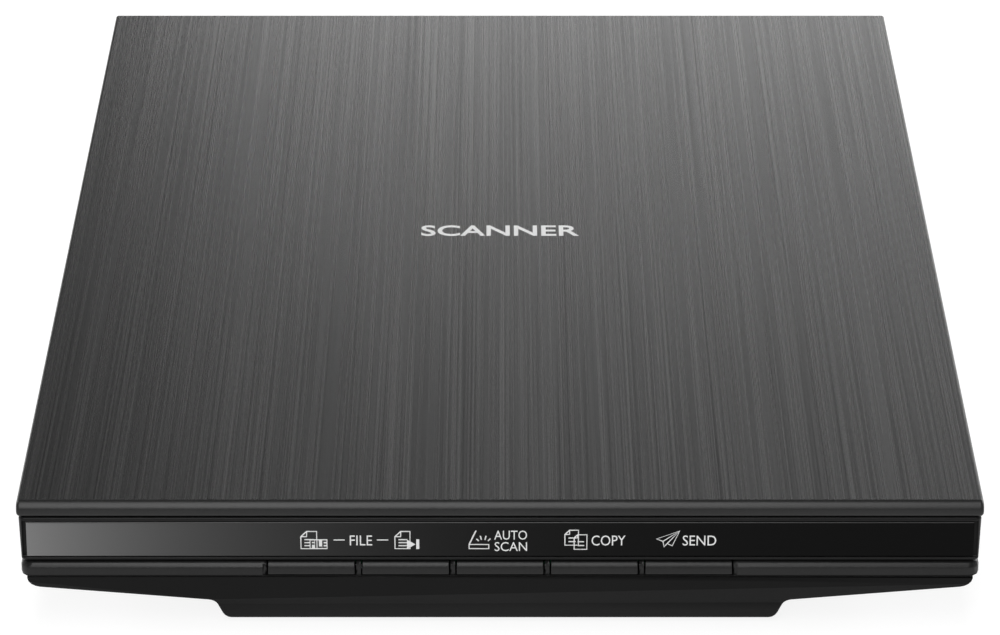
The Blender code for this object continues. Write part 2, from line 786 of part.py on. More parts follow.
def hull(name, wall, top):
    """The solid where the two outlines meet, drawn in by a wall."""
    across = rounded(inset(hull_section(top), wall))
    along = rounded(inset(hull_profile(top), wall))
    body = prism(name, across, "Y", FRONT - WALL, REAR + WALL)
    boolean(body, prism(name + "_ends", along, "X", -WIDTH, WIDTH), "INTERSECT")
    return body


def lower_casing(coat):
    casing = hull("lower_casing", 0.0, RIB_LOW + RIB_HEIGHT / 2)
    rib = slab(
        "button_rib",
        (-RIB_HALF, RIB_FRONT, RIB_LOW),
        (RIB_HALF, RIB_REAR, RIB_TOP),
        corner=3.0 * MM,
        top=RIB_ROUND,
        bottom=RIB_LOW_ROUND,
        steps=3,
    )
    join(casing, rib)
    cut(casing, hull("hull_hollow", WALL, RIB_TOP + UPPER_HEIGHT))
    join(casing, tongue(), *shaft_seats())
    for side, sign in SIDES.items():
        for end, y in screw_rows().items():
            join(casing, lower_boss(end, side, sign, y))
            cut(casing, *screw_holes(end, side, sign, y))
        for end, y in foot_rows().items():
            seat = column(
                f"foot_seat_{end}_{side}", sign * FOOT_X, y, 0, HULL_LOW + FOOT_SEAT, FOOT_RADIUS + GAP
            )
            cut(casing, seat)
    cut(casing, *button_openings(), usb_opening(), *lock_openings())
    return finish(casing, coat)


def tongue():
    """The lip that stands up inside the upper casing and hides the parting line."""
    half = UPPER_HALF - UPPER_WALL - UPPER_TAPER - GAP
    front = UPPER_FRONT + PANEL_THICK + 3 * GAP + UPPER_WALL
    rear = UPPER_REAR - UPPER_WALL - GAP
    root = slab(
        "tongue_root",
        (-RIB_HALF + MM, RIB_FRONT + MM, RIB_TOP - 2 * TONGUE),
        (RIB_HALF - MM, RIB_REAR - MM, RIB_TOP - RIB_ROUND / 2),
    )
    lip = slab("tongue", (-half, front, RIB_TOP - 1.5 * TONGUE), (half, rear, RIB_TOP + TONGUE_HEIGHT))
    core = slab(
        "tongue_core",
        (-half + TONGUE, front + TONGUE, RIB_LOW - WALL),
        (half - TONGUE, rear - TONGUE, RIB_TOP + UPPER_HEIGHT),
    )
    return cut(join(root, lip), core)


def button_centres():
    return [-BUTTON_ROW_HALF + i * BUTTON_PITCH for i in range(len(BUTTON_NAMES))]


def button_openings():
    """One hole for each button, and the shallow step that sets back the bars between them."""
    low = RIB_LOW + BUTTON_LIP
    half = BUTTON_WIDTH / 2 + SHADOW_GAP
    rear, high = board_front() + 2 * BOARD, RIB_TOP + UPPER_HEIGHT
    holes = [
        slab(f"button_hole_{i}", (x - half, RIB_FRONT - WALL, low), (x + half, rear, high))
        for i, x in enumerate(button_centres())
    ]
    edge = BUTTON_ROW_HALF + BUTTON_WIDTH / 2 + 3.5 * SHADOW_GAP
    step = slab(
        "button_step", (-edge, RIB_FRONT - WALL, low + OVERLAP), (edge, RIB_FRONT + 0.6 * MM, RIB_TOP + WALL)
    )
    return [*holes, step]


def shaft_ends():
    """How far the guide shaft runs, from the slanted front wall to the rear seat."""
    front = HULL_FRONT + (RIB_LOW - SHAFT_Z + SHAFT_RADIUS) * math.tan(HULL_FRONT_SLANT)
    front += WALL / math.cos(HULL_FRONT_SLANT) + GAP
    return front, HOME_Y + SCAN_TRAVEL + SLEEVE_BACK + GAP + SEAT_LENGTH


def seat_half():
    return SHAFT_RADIUS + 4 * GAP + WALL


def seat_spans():
    front_high = HOME_Y - SLEEVE_FRONT - GAP
    rear = shaft_ends()[1]
    return {"front": (PEDESTAL_FRONT + GAP, front_high), "rear": (rear - SEAT_LENGTH, rear)}


def shaft_seats():
    """The two cradles that hold the guide shaft's ends."""
    front, rear = shaft_ends()
    half = seat_half()
    seats = []
    for end, (low, high) in seat_spans().items():
        block = slab(
            f"shaft_seat_{end}", (-half, low, HULL_LOW + WALL / 2), (half, high, SHAFT_Z + SHAFT_RADIUS)
        )
        groove = column(
            f"shaft_groove_{end}", 0, SHAFT_Z, low - WALL, high + WALL, SHAFT_RADIUS + SLIDE, along="Y"
        )
        mouth = slab(
            f"shaft_mouth_{end}",
            (-SHAFT_RADIUS - SLIDE, low - WALL, SHAFT_Z),
            (SHAFT_RADIUS + SLIDE, high + WALL, SHAFT_Z + 2 * SHAFT_RADIUS),
        )
        seats.append(cut(block, groove, mouth))
    return seats


def wing_low(x):
    """Height of the wing's underside at a distance from the middle."""
    root_x = PEDESTAL_HALF + PEDESTAL_DRAFT
    share = (abs(x) - root_x) / (HULL_HALF - root_x)
    return RIB_LOW - ROOT_DROP + share * (ROOT_DROP - WING_DROP)


def screw_rows():
    return {"front": HULL_FRONT + SCREW_END - WALL, "rear": UPPER_REAR - SCREW_END + WALL}


def screw_seat():
    """The level that the screws' heads bear on."""
    return wing_low(HALF_WIDTH - SCREW_INSET) + WALL + 0.6 * MM


def screw_split():
    """The level where the lower casing's bosses end and the upper casing's begin."""
    return screw_seat() + 6.0 * MM


def lower_boss(end, side, sign, y):
    x = sign * (HALF_WIDTH - SCREW_INSET)
    return column(f"lower_boss_{end}_{side}", x, y, screw_seat() - WALL, screw_split(), SCREW_HEAD + 0.9 * MM)


def screw_holes(end, side, sign, y):
    x = sign * (HALF_WIDTH - SCREW_INSET)
    sink = column(f"screw_sink_{end}_{side}", x, y, 0, screw_seat(), SCREW_HEAD + GAP)
    hole = column(f"screw_hole_{end}_{side}", x, y, 0, RIB_TOP + UPPER_HEIGHT, SCREW_RADIUS + GAP)
    return sink, hole


def casing_screw(end, side, sign, y, coat):
    x = sign * (HALF_WIDTH - SCREW_INSET)
    top = screw_seat() - GAP / 2
    screw = column(f"casing_screw_{end}_{side}", x, y, top - 1.8 * MM, top, SCREW_HEAD, sides=16)
    shank = column(f"shank_{end}_{side}", x, y, top - 0.5 * MM, top + SCREW_LENGTH, SCREW_RADIUS, sides=16)
    slot = slab(
        f"drive_slot_{end}_{side}",
        (x - SCREW_HEAD, y - 0.3 * MM, 0),
        (x + SCREW_HEAD, y + 0.3 * MM, top - 1.1 * MM),
    )
    return finish(cut(join(screw, shank), slot), coat)


def foot_rows():
    return {"front": PEDESTAL_FRONT + FOOT_EDGE, "rear": PEDESTAL_REAR - FOOT_EDGE}


def rubber_foot(end, side, sign, y, coat):
    return finish(
        column(f"foot_{end}_{side}", sign * FOOT_X, y, 0, HULL_LOW + FOOT_SEAT - GAP, FOOT_RADIUS), coat
    )


# ================================================================ buttons
def button(name, x, coat):
    """A key whose nose carries on the casing's rounded band, and the stem that presses its switch."""
    low, high = BUTTON_LOW, RIB_TOP - GAP / 3
    key = slab(
        name,
        (x - BUTTON_WIDTH / 2, BUTTON_FRONT, low),
        (x + BUTTON_WIDTH / 2, BUTTON_FRONT + BUTTON_DEPTH, high),
    )
    nose = prism(name + "_nose", nose_outline(low, high), "X", x - WIDTH / 8, x + WIDTH / 8)
    boolean(key, nose, "INTERSECT")
    stem = slab(
        name + "_stem",
        (x - STEM_WIDTH / 2, BUTTON_FRONT + BUTTON_DEPTH / 2, switch_z() - STEM_HEIGHT / 2),
        (x + STEM_WIDTH / 2, switch_front() - BUTTON_TRAVEL - SLIDE, switch_z() + STEM_HEIGHT / 2),
    )
    return finish(join(key, stem), coat)


def nose_outline(low, high):
    """The band's rounded front as (y, z) corners: a large round above and a small one below."""
    rear = BUTTON_FRONT + 2 * BUTTON_DEPTH
    corners = [
        (BUTTON_FRONT, low, RIB_LOW_ROUND),
        (rear, low, 0.0),
        (rear, high, 0.0),
        (BUTTON_FRONT, high, RIB_ROUND),
    ]
    return rounded(corners, steps=3)


def switch_z():
    return (BUTTON_LOW + RIB_TOP) / 2


def board_front():
    """The front face of the board behind the buttons."""
    return switch_front() + SWITCH.y


def switch_front():
    return HULL_FRONT + WALL + 2 * GAP


def button_board(coat):
    """The switch board, with one press switch soldered on behind each button."""
    front = board_front()
    half = BUTTON_ROW_HALF + BUTTON_WIDTH / 2
    board = slab(
        "button_board", (-half, front, RIB_LOW + GAP), (half, front + BOARD, RIB_TOP + RIB_HEIGHT)
    )
    switches = [
        slab(
            f"switch_body_{i}",
            (x - SWITCH.x / 2, front - SWITCH.y, switch_z() - SWITCH.z / 2),
            (x + SWITCH.x / 2, front + BOARD / 2, switch_z() + SWITCH.z / 2),
        )
        for i, x in enumerate(button_centres())
    ]
    return finish(join(board, *switches), coat)


# ================================================================ guide shaft, rack and gears
def guide_shaft(coat):
    front, rear = shaft_ends()
    return finish(
        column("guide_shaft", 0, SHAFT_Z, front, rear - GAP, SHAFT_RADIUS, along="Y"), coat
    )


def shaft_clip(end, coat):
    """The cap over a shaft seat."""
    low, high = seat_spans()[end]
    level = SHAFT_Z + SHAFT_RADIUS + GAP
    clip = slab(f"shaft_clip_{end}", (-seat_half(), low, level), (seat_half(), high, level + 1.2 * MM))
    return finish(clip, coat)


def involute(angle):
    return math.tan(angle) - angle


def gear_outline(teeth, module, tooth_angle, points=3):
    """An involute gear's outline, with one tooth centred on tooth_angle."""
    pitch = module * teeth / 2
    base = pitch * math.cos(PRESSURE_ANGLE)
    tip, root = pitch + module, pitch - 1.25 * module
    half_at_pitch = (math.pi * module - BACKLASH) / 4 / pitch
    start = max(base, root)
    outline = []
    for tooth in range(teeth):
        middle = tooth_angle + 2 * math.pi * tooth / teeth
        flank = []
        for step in range(points):
            radius = start + (tip - start) * step / (points - 1)
            lean = involute(PRESSURE_ANGLE) - involute(math.acos(min(1.0, base / radius)))
            flank.append((radius, half_at_pitch + lean))
        if root < base:
            flank.insert(0, (root, flank[0][1]))
        outline += [(radius, middle - half) for radius, half in flank]
        outline += [(radius, middle + half) for radius, half in reversed(flank)]
    return [(radius * math.cos(angle), radius * math.sin(angle)) for radius, angle in outline]


def moved(outline, x, y):
    return [(u + x, v + y) for u, v in outline]


def rack_pitch_x():
    return GEAR_X + RACK_MODULE * RACK_TEETH_ON_GEAR / 2


def drive_rack(coat):
    """The toothed strip along the floor. A gap between its teeth faces the drive gear at home."""
    pitch = math.pi * RACK_MODULE
    lean = math.tan(PRESSURE_ANGLE)
    half = (pitch - BACKLASH) / 4
    tip_x, root_x = rack_pitch_x() - RACK_MODULE, rack_pitch_x() + 1.25 * RACK_MODULE
    tip_half, root_half = half - RACK_MODULE * lean, half + 1.25 * RACK_MODULE * lean
    before, count = 3, math.ceil(SCAN_TRAVEL / pitch) + 6
    first = HOME_Y - (before - 0.5) * pitch
    front, rear = first - pitch / 2, first + (count - 0.5) * pitch
    outline = [(root_x, front)]
    for tooth in range(count):
        y = first + tooth * pitch
        outline += [(root_x, y - root_half), (tip_x, y - tip_half)]
        outline += [(tip_x, y + tip_half), (root_x, y + root_half)]
    back_x = root_x + RACK_BACKING
    outline += [(root_x, rear), (back_x, rear), (back_x, front)]
    return finish(prism("drive_rack", outline, "Z", RACK_LOW, RACK_LOW + RACK_THICK), coat)


def drive_gear(coat):
    """A wheel driven by the motor, in one piece with the small gear that rolls along the rack."""
    small = gear_outline(RACK_TEETH_ON_GEAR, RACK_MODULE, 0.0)
    wheel = gear_outline(WHEEL_TEETH, WHEEL_MODULE, MOTOR_ANGLE + math.pi / WHEEL_TEETH)
    gear = prism("drive_gear", wheel, "Z", WHEEL_LOW, WHEEL_LOW + GEAR_THICK)
    step = prism("rack_gear", small, "Z", RACK_LOW + GAP, WHEEL_LOW + GEAR_THICK / 2)
    bore = column("gear_bore", 0, 0, 0, HEIGHT, AXLE_RADIUS + SLIDE)
    for piece in (gear, step, bore):
        piece.location.x += GEAR_X
        piece.location.y += HOME_Y
    return finish(cut(join(gear, step), bore), coat)


def motor_place():
    reach = WHEEL_MODULE * (WHEEL_TEETH + PINION_TEETH) / 2
    return GEAR_X + reach * math.cos(MOTOR_ANGLE), HOME_Y + reach * math.sin(MOTOR_ANGLE)


def motor_pinion(coat):
    x, y = motor_place()
    outline = gear_outline(PINION_TEETH, WHEEL_MODULE, MOTOR_ANGLE + math.pi)
    pinion = prism("motor_pinion", outline, "Z", WHEEL_LOW, WHEEL_LOW + GEAR_THICK)
    pinion.location.x += x
    pinion.location.y += y
    shaft = column("pinion_shaft", x, y, WHEEL_LOW + GAP, BRACKET_TOP + 4 * MM, 1.0 * MM, sides=16)
    return finish(join(pinion, shaft), coat)


def scan_motor(coat):
    x, y = motor_place()
    low = BRACKET_TOP + GAP / 2
    can = column("scan_motor", x, y, low, TRAY_TOP - GAP / 2, MOTOR_RADIUS, sides=32)
    bore = column("motor_bore", x, y, low - WALL, BRACKET_TOP + 4.5 * MM, 1.0 * MM + SLIDE, sides=16)
    return finish(cut(can, bore), coat)


def gear_axle(coat):
    axle = column("gear_axle", GEAR_X, HOME_Y, FLOOR + GAP, BRACKET_TOP + 1.0 * MM, AXLE_RADIUS)
    flange = column("axle_flange", GEAR_X, HOME_Y, FLOOR + GAP / 2, RACK_LOW + GAP / 2, AXLE_RADIUS + MM)
    return finish(join(axle, flange), coat)


# ================================================================ carriage and sensor head
def carriage_frame(coat):
    """The tray that carries the sensor head, with the shaft sleeve and motor bracket under it."""
    depth = SENSOR_DEPTH / 2 + GAP
    frame = slab(
        "carriage_frame",
        (-TRAY_HALF, HOME_Y - depth - TRAY, TRAY_LOW),
        (TRAY_HALF, HOME_Y + depth + TRAY, TRAY_TOP),
    )
    for end, edge in (("front", -1), ("rear", 1)):
        inner, outer = HOME_Y + edge * depth, HOME_Y + edge * (depth + TRAY - OVERLAP)
        lip = slab(
            f"tray_lip_{end}",
            (-TRAY_HALF + OVERLAP, min(inner, outer), TRAY_LOW + GAP),
            (TRAY_HALF - OVERLAP, max(inner, outer), TRAY_TOP + TRAY_LIP),
        )
        join(frame, lip)
    sleeve_low = SHAFT_Z - SHAFT_RADIUS - BUSHING_WALL
    sleeve = slab(
        "sleeve",
        (-SLEEVE_HALF, HOME_Y - SLEEVE_FRONT, sleeve_low),
        (SLEEVE_HALF, HOME_Y + SLEEVE_BACK, TRAY_LOW + TRAY / 2),
    )
    join(frame, sleeve, *motor_bracket(), *spring_cups(), lock_block())
    motor_x, motor_y = motor_place()
    bushing_seat = SHAFT_RADIUS + BUSHING_WALL - SLIDE
    cut(
        frame,
        column("sleeve_bore", 0, SHAFT_Z, FRONT, REAR, bushing_seat, along="Y"),
        slab(
            "sleeve_mouth",
            (-SHAFT_RADIUS, FRONT, 0),
            (SHAFT_RADIUS, REAR, SHAFT_Z - SHAFT_RADIUS / 2),
        ),
        column("motor_room", motor_x, motor_y, BRACKET_TOP, TRAY_TOP + WALL, MOTOR_RADIUS + GAP, sides=32),
        column("pinion_room", motor_x, motor_y, 0, BRACKET_TOP + WALL, 5.0 * MM),
        column("axle_hole", GEAR_X, HOME_Y, 0, BRACKET_TOP + WALL, AXLE_RADIUS + SLIDE / 3),
        lock_notch(),
    )
    for side, sign in SIDES.items():
        hollow = column(
            f"cup_hollow_{side}", sign * SPRING_X, HOME_Y, TRAY_TOP - CUP_DEPTH, TRAY_TOP + WALL, cup_radius()
        )
        cut(frame, hollow)
    return finish(frame, coat)


def cup_radius():
    return SPRING_RADIUS + SPRING_WIRE + 2 * GAP


def spring_cups():
    low, high = TRAY_TOP - CUP_DEPTH - CUP_WALL, TRAY_LOW + TRAY / 2
    return [
        column(f"spring_cup_{side}", sign * SPRING_X, HOME_Y, low, high, cup_radius() + CUP_WALL)
        for side, sign in SIDES.items()
    ]


def motor_bracket():
    """The plate under the motor, and the webs that hang it from the tray."""
    motor_x, motor_y = motor_place()
    front, rear = HOME_Y - SENSOR_DEPTH / 2, motor_y + MOTOR_RADIUS
    plate = slab(
        "bracket_plate",
        (seat_half() + GAP, front, BRACKET_LOW),
        (motor_x + MOTOR_RADIUS + MM, rear, BRACKET_TOP),
    )
    web_x = motor_x + MOTOR_RADIUS - WALL
    webs = [
        slab(
            f"bracket_web_{i}",
            (low_x, front + OVERLAP, BRACKET_LOW + GAP),
            (high_x, front + WALL, TRAY_LOW + TRAY / 2),
        )
        for i, (low_x, high_x) in enumerate(((SLEEVE_HALF - MM, GEAR_X), (web_x, web_x + WALL)))
    ]
    return [plate, *webs]


def lock_block():
    """The ear on the sleeve that the transport lock grips."""
    y = HOME_Y + LOCK_FORWARD
    half = LOCK_WIDTH / 2 + SHADOW_GAP + WALL
    return slab("lock_block", (lock_face(), y - half, FLOOR + 1.2 * MM), (0, y + half, SHAFT_Z + MM))


def lock_face():
    """Where the lock block's outer face is, one slide gap beyond the tongue at rest."""
    return -SLEEVE_HALF - LOCK_TRAVEL - GAP


def lock_notch():
    y = HOME_Y + LOCK_FORWARD
    half = LOCK_WIDTH / 2 + SHADOW_GAP
    rear_wall = -SLEEVE_HALF - GAP / 2
    return slab("lock_notch", (lock_face() - MM, y - half, 0), (rear_wall, y + half, lock_top() + GAP))


def lock_top():
    return FLOOR + 3.6 * MM


def bushing(end, coat):
    y = {"front": HOME_Y - SLEEVE_FRONT + GAP, "rear": HOME_Y + SLEEVE_BACK - BUSHING_LENGTH - GAP}[end]
    radius = SHAFT_RADIUS + BUSHING_WALL - 2 * SLIDE
    ring = column(f"bushing_{end}", 0, SHAFT_Z, y, y + BUSHING_LENGTH, radius, along="Y")
    bore = column(f"bushing_bore_{end}", 0, SHAFT_Z, FRONT, REAR, SHAFT_RADIUS + SLIDE / 2, along="Y")
    return finish(cut(ring, bore), coat)


def sensor_head(shell_coat, lens_coat, light_coat, board_coat, slider_coat):
    """The contact image sensor: a bar as long as a page is wide."""
    half_depth = SENSOR_DEPTH / 2
    housing = slab(
        "sensor_housing",
        (-SENSOR_HALF, HOME_Y - half_depth, SENSOR_LOW),
        (SENSOR_HALF, HOME_Y + half_depth, SENSOR_TOP),
    )
    lens_half, light_half = 1.1 * MM, 1.9 * MM
    light_y = HOME_Y - lens_half - light_half - MM
    reach = OPENING_HALF
    lens_low, light_low = SENSOR_TOP - 4.5 * MM, SENSOR_TOP - 3.5 * MM
    grooves = [
        slab("lens_groove", (-reach, HOME_Y - lens_half, lens_low), (reach, HOME_Y + lens_half, GLASS_LOW)),
        slab(
            "light_groove",
            (-reach, light_y - light_half, light_low),
            (reach, light_y + light_half, GLASS_LOW),
        ),
        slab(
            "board_pocket",
            (-SENSOR_HALF + WALL, HOME_Y - half_depth + WALL, SENSOR_LOW - WALL),
            (SENSOR_HALF - WALL, HOME_Y + half_depth - WALL, SENSOR_LOW + BOARD + GAP),
        ),
    ]
    cut(housing, *grooves)
    lens = slab(
        "lens_array",
        (-reach + GAP, HOME_Y - lens_half + GAP, lens_low + GAP),
        (reach - GAP, HOME_Y + lens_half - GAP, SENSOR_TOP - GAP),
    )
    light = slab(
        "light_guide",
        (-reach + GAP, light_y - light_half + GAP, light_low + GAP),
        (reach - GAP, light_y + light_half - GAP, SENSOR_TOP - GAP),
        top=1.0 * MM,
    )
    board = slab(
        "sensor_board",
        (-SENSOR_HALF + WALL + GAP, HOME_Y - half_depth + WALL + GAP, SENSOR_LOW + GAP / 2),
        (SENSOR_HALF - WALL - GAP, HOME_Y + half_depth - WALL - GAP, SENSOR_LOW + BOARD),
    )
    slider_top = GLASS_LOW - SLIDE
    pieces = [finish(lens, lens_coat), finish(light, light_coat), finish(board, board_coat)]
    for side, sign in SIDES.items():
        x = sign * (OPENING_HALF + GLASS_SEAT / 2 + GAP)
        low = slider_top - SLIDER.z
        seat = slab(
            f"slider_seat_{side}",
            (x - SLIDER.x / 2 - GAP, HOME_Y - SLIDER.y / 2 - GAP, low - GAP),
            (x + SLIDER.x / 2 + GAP, HOME_Y + SLIDER.y / 2 + GAP, GLASS_LOW),
        )
        cut(housing, seat)
        slider = slab(
            f"glass_slider_{side}",
            (x - SLIDER.x / 2, HOME_Y - SLIDER.y / 2, low),
            (x + SLIDER.x / 2, HOME_Y + SLIDER.y / 2, slider_top),
            top=0.3 * MM,
            steps=1,
        )
        pieces.append(finish(slider, slider_coat))
    return [finish(housing, shell_coat), *pieces]


def lift_spring(side, sign, coat):
    """The coil spring that presses the sensor head up against the glass."""
    low = TRAY_TOP - CUP_DEPTH + GAP + SPRING_WIRE
    high = SENSOR_LOW - GAP - SPRING_WIRE
    per_turn = 8
    count = SPRING_TURNS * per_turn + 1
    curve = bpy.data.curves.new(f"lift_spring_{side}", "CURVE")
    curve.dimensions = "3D"
    curve.bevel_depth = SPRING_WIRE
    curve.bevel_resolution = 1
    curve.use_fill_caps = True
    spline = curve.splines.new("POLY")
    spline.points.add(count - 1)
    for i, point in enumerate(spline.points):
        angle = 2 * math.pi * i / per_turn
        rise = (high - low) * i / (count - 1)
        point.co = (SPRING_RADIUS * math.cos(angle), SPRING_RADIUS * math.sin(angle), low + rise, 1)
    spring = bpy.data.objects.new(f"lift_spring_{side}", curve)
    spring.location = (sign * SPRING_X, HOME_Y, 0)
    bpy.data.collections[PARTS].objects.link(spring)
    return finish(spring, coat)


# ================================================================ transport lock
def lock_openings():
    """The slot through the floor, and the finger recess round it on the underside."""
    y = HOME_Y + LOCK_FORWARD
    neck = LOCK_WIDTH / 2
    slot = slab(
        "lock_slot",
        (LOCK_X - neck - GAP, y - neck - GAP, 0),
        (LOCK_X + neck + LOCK_TRAVEL + GAP, y + neck + GAP, FLOOR + WALL),
    )
    recess = slab(
        "lock_recess",
        (LOCK_X - 2 * neck - GAP, y - 2 * neck - GAP, 0),
        (LOCK_X + 2 * neck + LOCK_TRAVEL + GAP, y + 2 * neck + GAP, HULL_LOW + WALL / 2),
    )
    return slot, recess


def transport_lock(coat):
    """The slider under the scanner that pins the carriage for a journey."""
    y = HOME_Y + LOCK_FORWARD
    neck = LOCK_WIDTH / 2
    knob_top = HULL_LOW + WALL / 2 - GAP
    left, right = LOCK_X - 2 * neck, LOCK_X + 2 * neck
    knob = slab("transport_lock", (left, y - 2 * neck, HULL_LOW), (right, y + 2 * neck, knob_top))
    stalk = slab(
        "lock_stalk",
        (LOCK_X - neck, y - neck, HULL_LOW + GAP),
        (LOCK_X + neck, y + neck, lock_top() - OVERLAP),
    )
    flange_low = FLOOR + GAP
    flange = slab(
        "lock_flange",
        (left, y - 2 * neck, flange_low),
        (right - neck / 2, y + 2 * neck, flange_low + 1.0 * MM),
    )
    bolt = slab(
        "lock_bolt",
        (LOCK_X - neck + OVERLAP, y - neck + OVERLAP, flange_low + GAP),
        (lock_face() - 2 * GAP, y + neck - OVERLAP, lock_top()),
    )
    return finish(join(knob, stalk, flange, bolt), coat)


# ================================================================ electronics
def board_low():
    return FLOOR + BOARD_RISE


def main_board(coat):
    low = Vector((BOARD_LOW_X, BOARD_LOW_Y, board_low()))
    return finish(slab("main_board", low, low + Vector((BOARD_WIDTH, BOARD_DEPTH, BOARD))), coat)


def on_board(name, middle, back, size, coat):
    """A component on the main board: its middle from the board's left edge, its front from the front edge."""
    low = Vector((BOARD_LOW_X + middle - size.x / 2, BOARD_LOW_Y + back, board_low() + BOARD + GAP / 3))
    return finish(slab(name, low, low + size), coat)


def usb_middle():
    return BOARD_LOW_X + BOARD_WIDTH / 2


def usb_port(coat):
    """The socket for the computer's cable, with its mouth in the rear wall."""
    low = board_low() + BOARD + GAP / 3
    rear = hull_rear_at(low + USB_HEIGHT / 2) - GAP
    x = usb_middle()
    port = slab(
        "usb_port", (x - USB_WIDTH / 2, rear - USB_LENGTH, low), (x + USB_WIDTH / 2, rear, low + USB_HEIGHT)
    )
    mouth = slab(
        "usb_mouth",
        (x - USB_WIDTH / 2 + GAP, rear - USB_LENGTH + MM, low + GAP),
        (x + USB_WIDTH / 2 - GAP, rear + WALL, low + USB_HEIGHT - GAP),
    )
    tongue_y = rear - USB_LENGTH + MM / 2
    blade = slab(
        "usb_blade",
        (x - USB_WIDTH / 2 + 4 * GAP, tongue_y, low + USB_HEIGHT / 2 - GAP),
        (x + USB_WIDTH / 2 - 4 * GAP, rear - MM, low + USB_HEIGHT / 2 + GAP),
    )
    return finish(join(cut(port, mouth), blade), coat)


def hull_rear_at(z):
    return HULL_REAR - (RIB_LOW - z) * math.tan(HULL_REAR_SLANT)


def usb_opening():
    low = board_low() + BOARD + GAP / 3
    half = USB_WIDTH / 2 + SHADOW_GAP
    x = usb_middle()
    return slab(
        "usb_opening",
        (x - half, PEDESTAL_REAR - 2 * WALL - USB_LENGTH, low - GAP),
        (x + half, REAR, low + USB_HEIGHT + GAP),
        corner=0.0,
    )


def panel_ribbon(coat):
    """The flat cable from the switch board, down the front wall and along the floor to the main board."""
    start = board_front() + BOARD + 2 * GAP
    floor = FLOOR + 2 * GAP
    board_top = board_low() + BOARD + 2 * GAP
    foot = PEDESTAL_FRONT + WALL / math.cos(HULL_FRONT_SLANT) + 2 * MM
    route = [
        (start, RIB_TOP),
        (start, RIB_LOW),
        (foot, floor + 3 * MM),
        (foot + 2 * MM, floor),
        (BOARD_LOW_Y - 8 * MM, floor),
        (BOARD_LOW_Y - 2 * MM, board_top),
        (BOARD_LOW_Y + 5 * MM, board_top),
    ]
    return finish(ribbon("panel_ribbon", route, BOARD_LOW_X + PANEL_RIBBON_SIDE, PANEL_RIBBON), coat)


def carriage_ribbon(coat):
    """The flat cable that rolls in a loop behind the carriage as it travels."""
    floor = FLOOR + 2 * GAP
    top = TRAY_LOW - 2 * GAP
    socket_front = BOARD_LOW_Y + MM - GAP
    socket_z = board_low() + BOARD + 4 * GAP
    radius = (top - floor) / 2
    bend = HOME_Y - SENSOR_DEPTH / 2
    loop = [
        (bend - radius * math.sin(math.pi * i / 8), floor + radius - radius * math.cos(math.pi * i / 8))
        for i in range(9)
    ]
    route = [(socket_front, socket_z), (socket_front - 6 * MM, floor), *loop, (HOME_Y + 6 * MM, top)]
    middle = BOARD_LOW_X + CARRIAGE_RIBBON_SIDE
    return finish(ribbon("carriage_ribbon", route, middle, CARRIAGE_RIBBON), coat)


# ================================================================ bodies that move
def body(name, place_of_joint, pieces):
    """An empty on a joint's axis, with the pieces that move with it."""
    empty = bpy.data.objects.new(name, None)
    empty.empty_display_size = 0.02
    empty.location = place_of_joint
    bpy.data.collections[PARTS].objects.link(empty)
    bpy.context.view_layer.update()
    for piece in pieces:
        piece.parent = empty
        piece.matrix_parent_inverse = empty.matrix_world.inverted()
    return empty


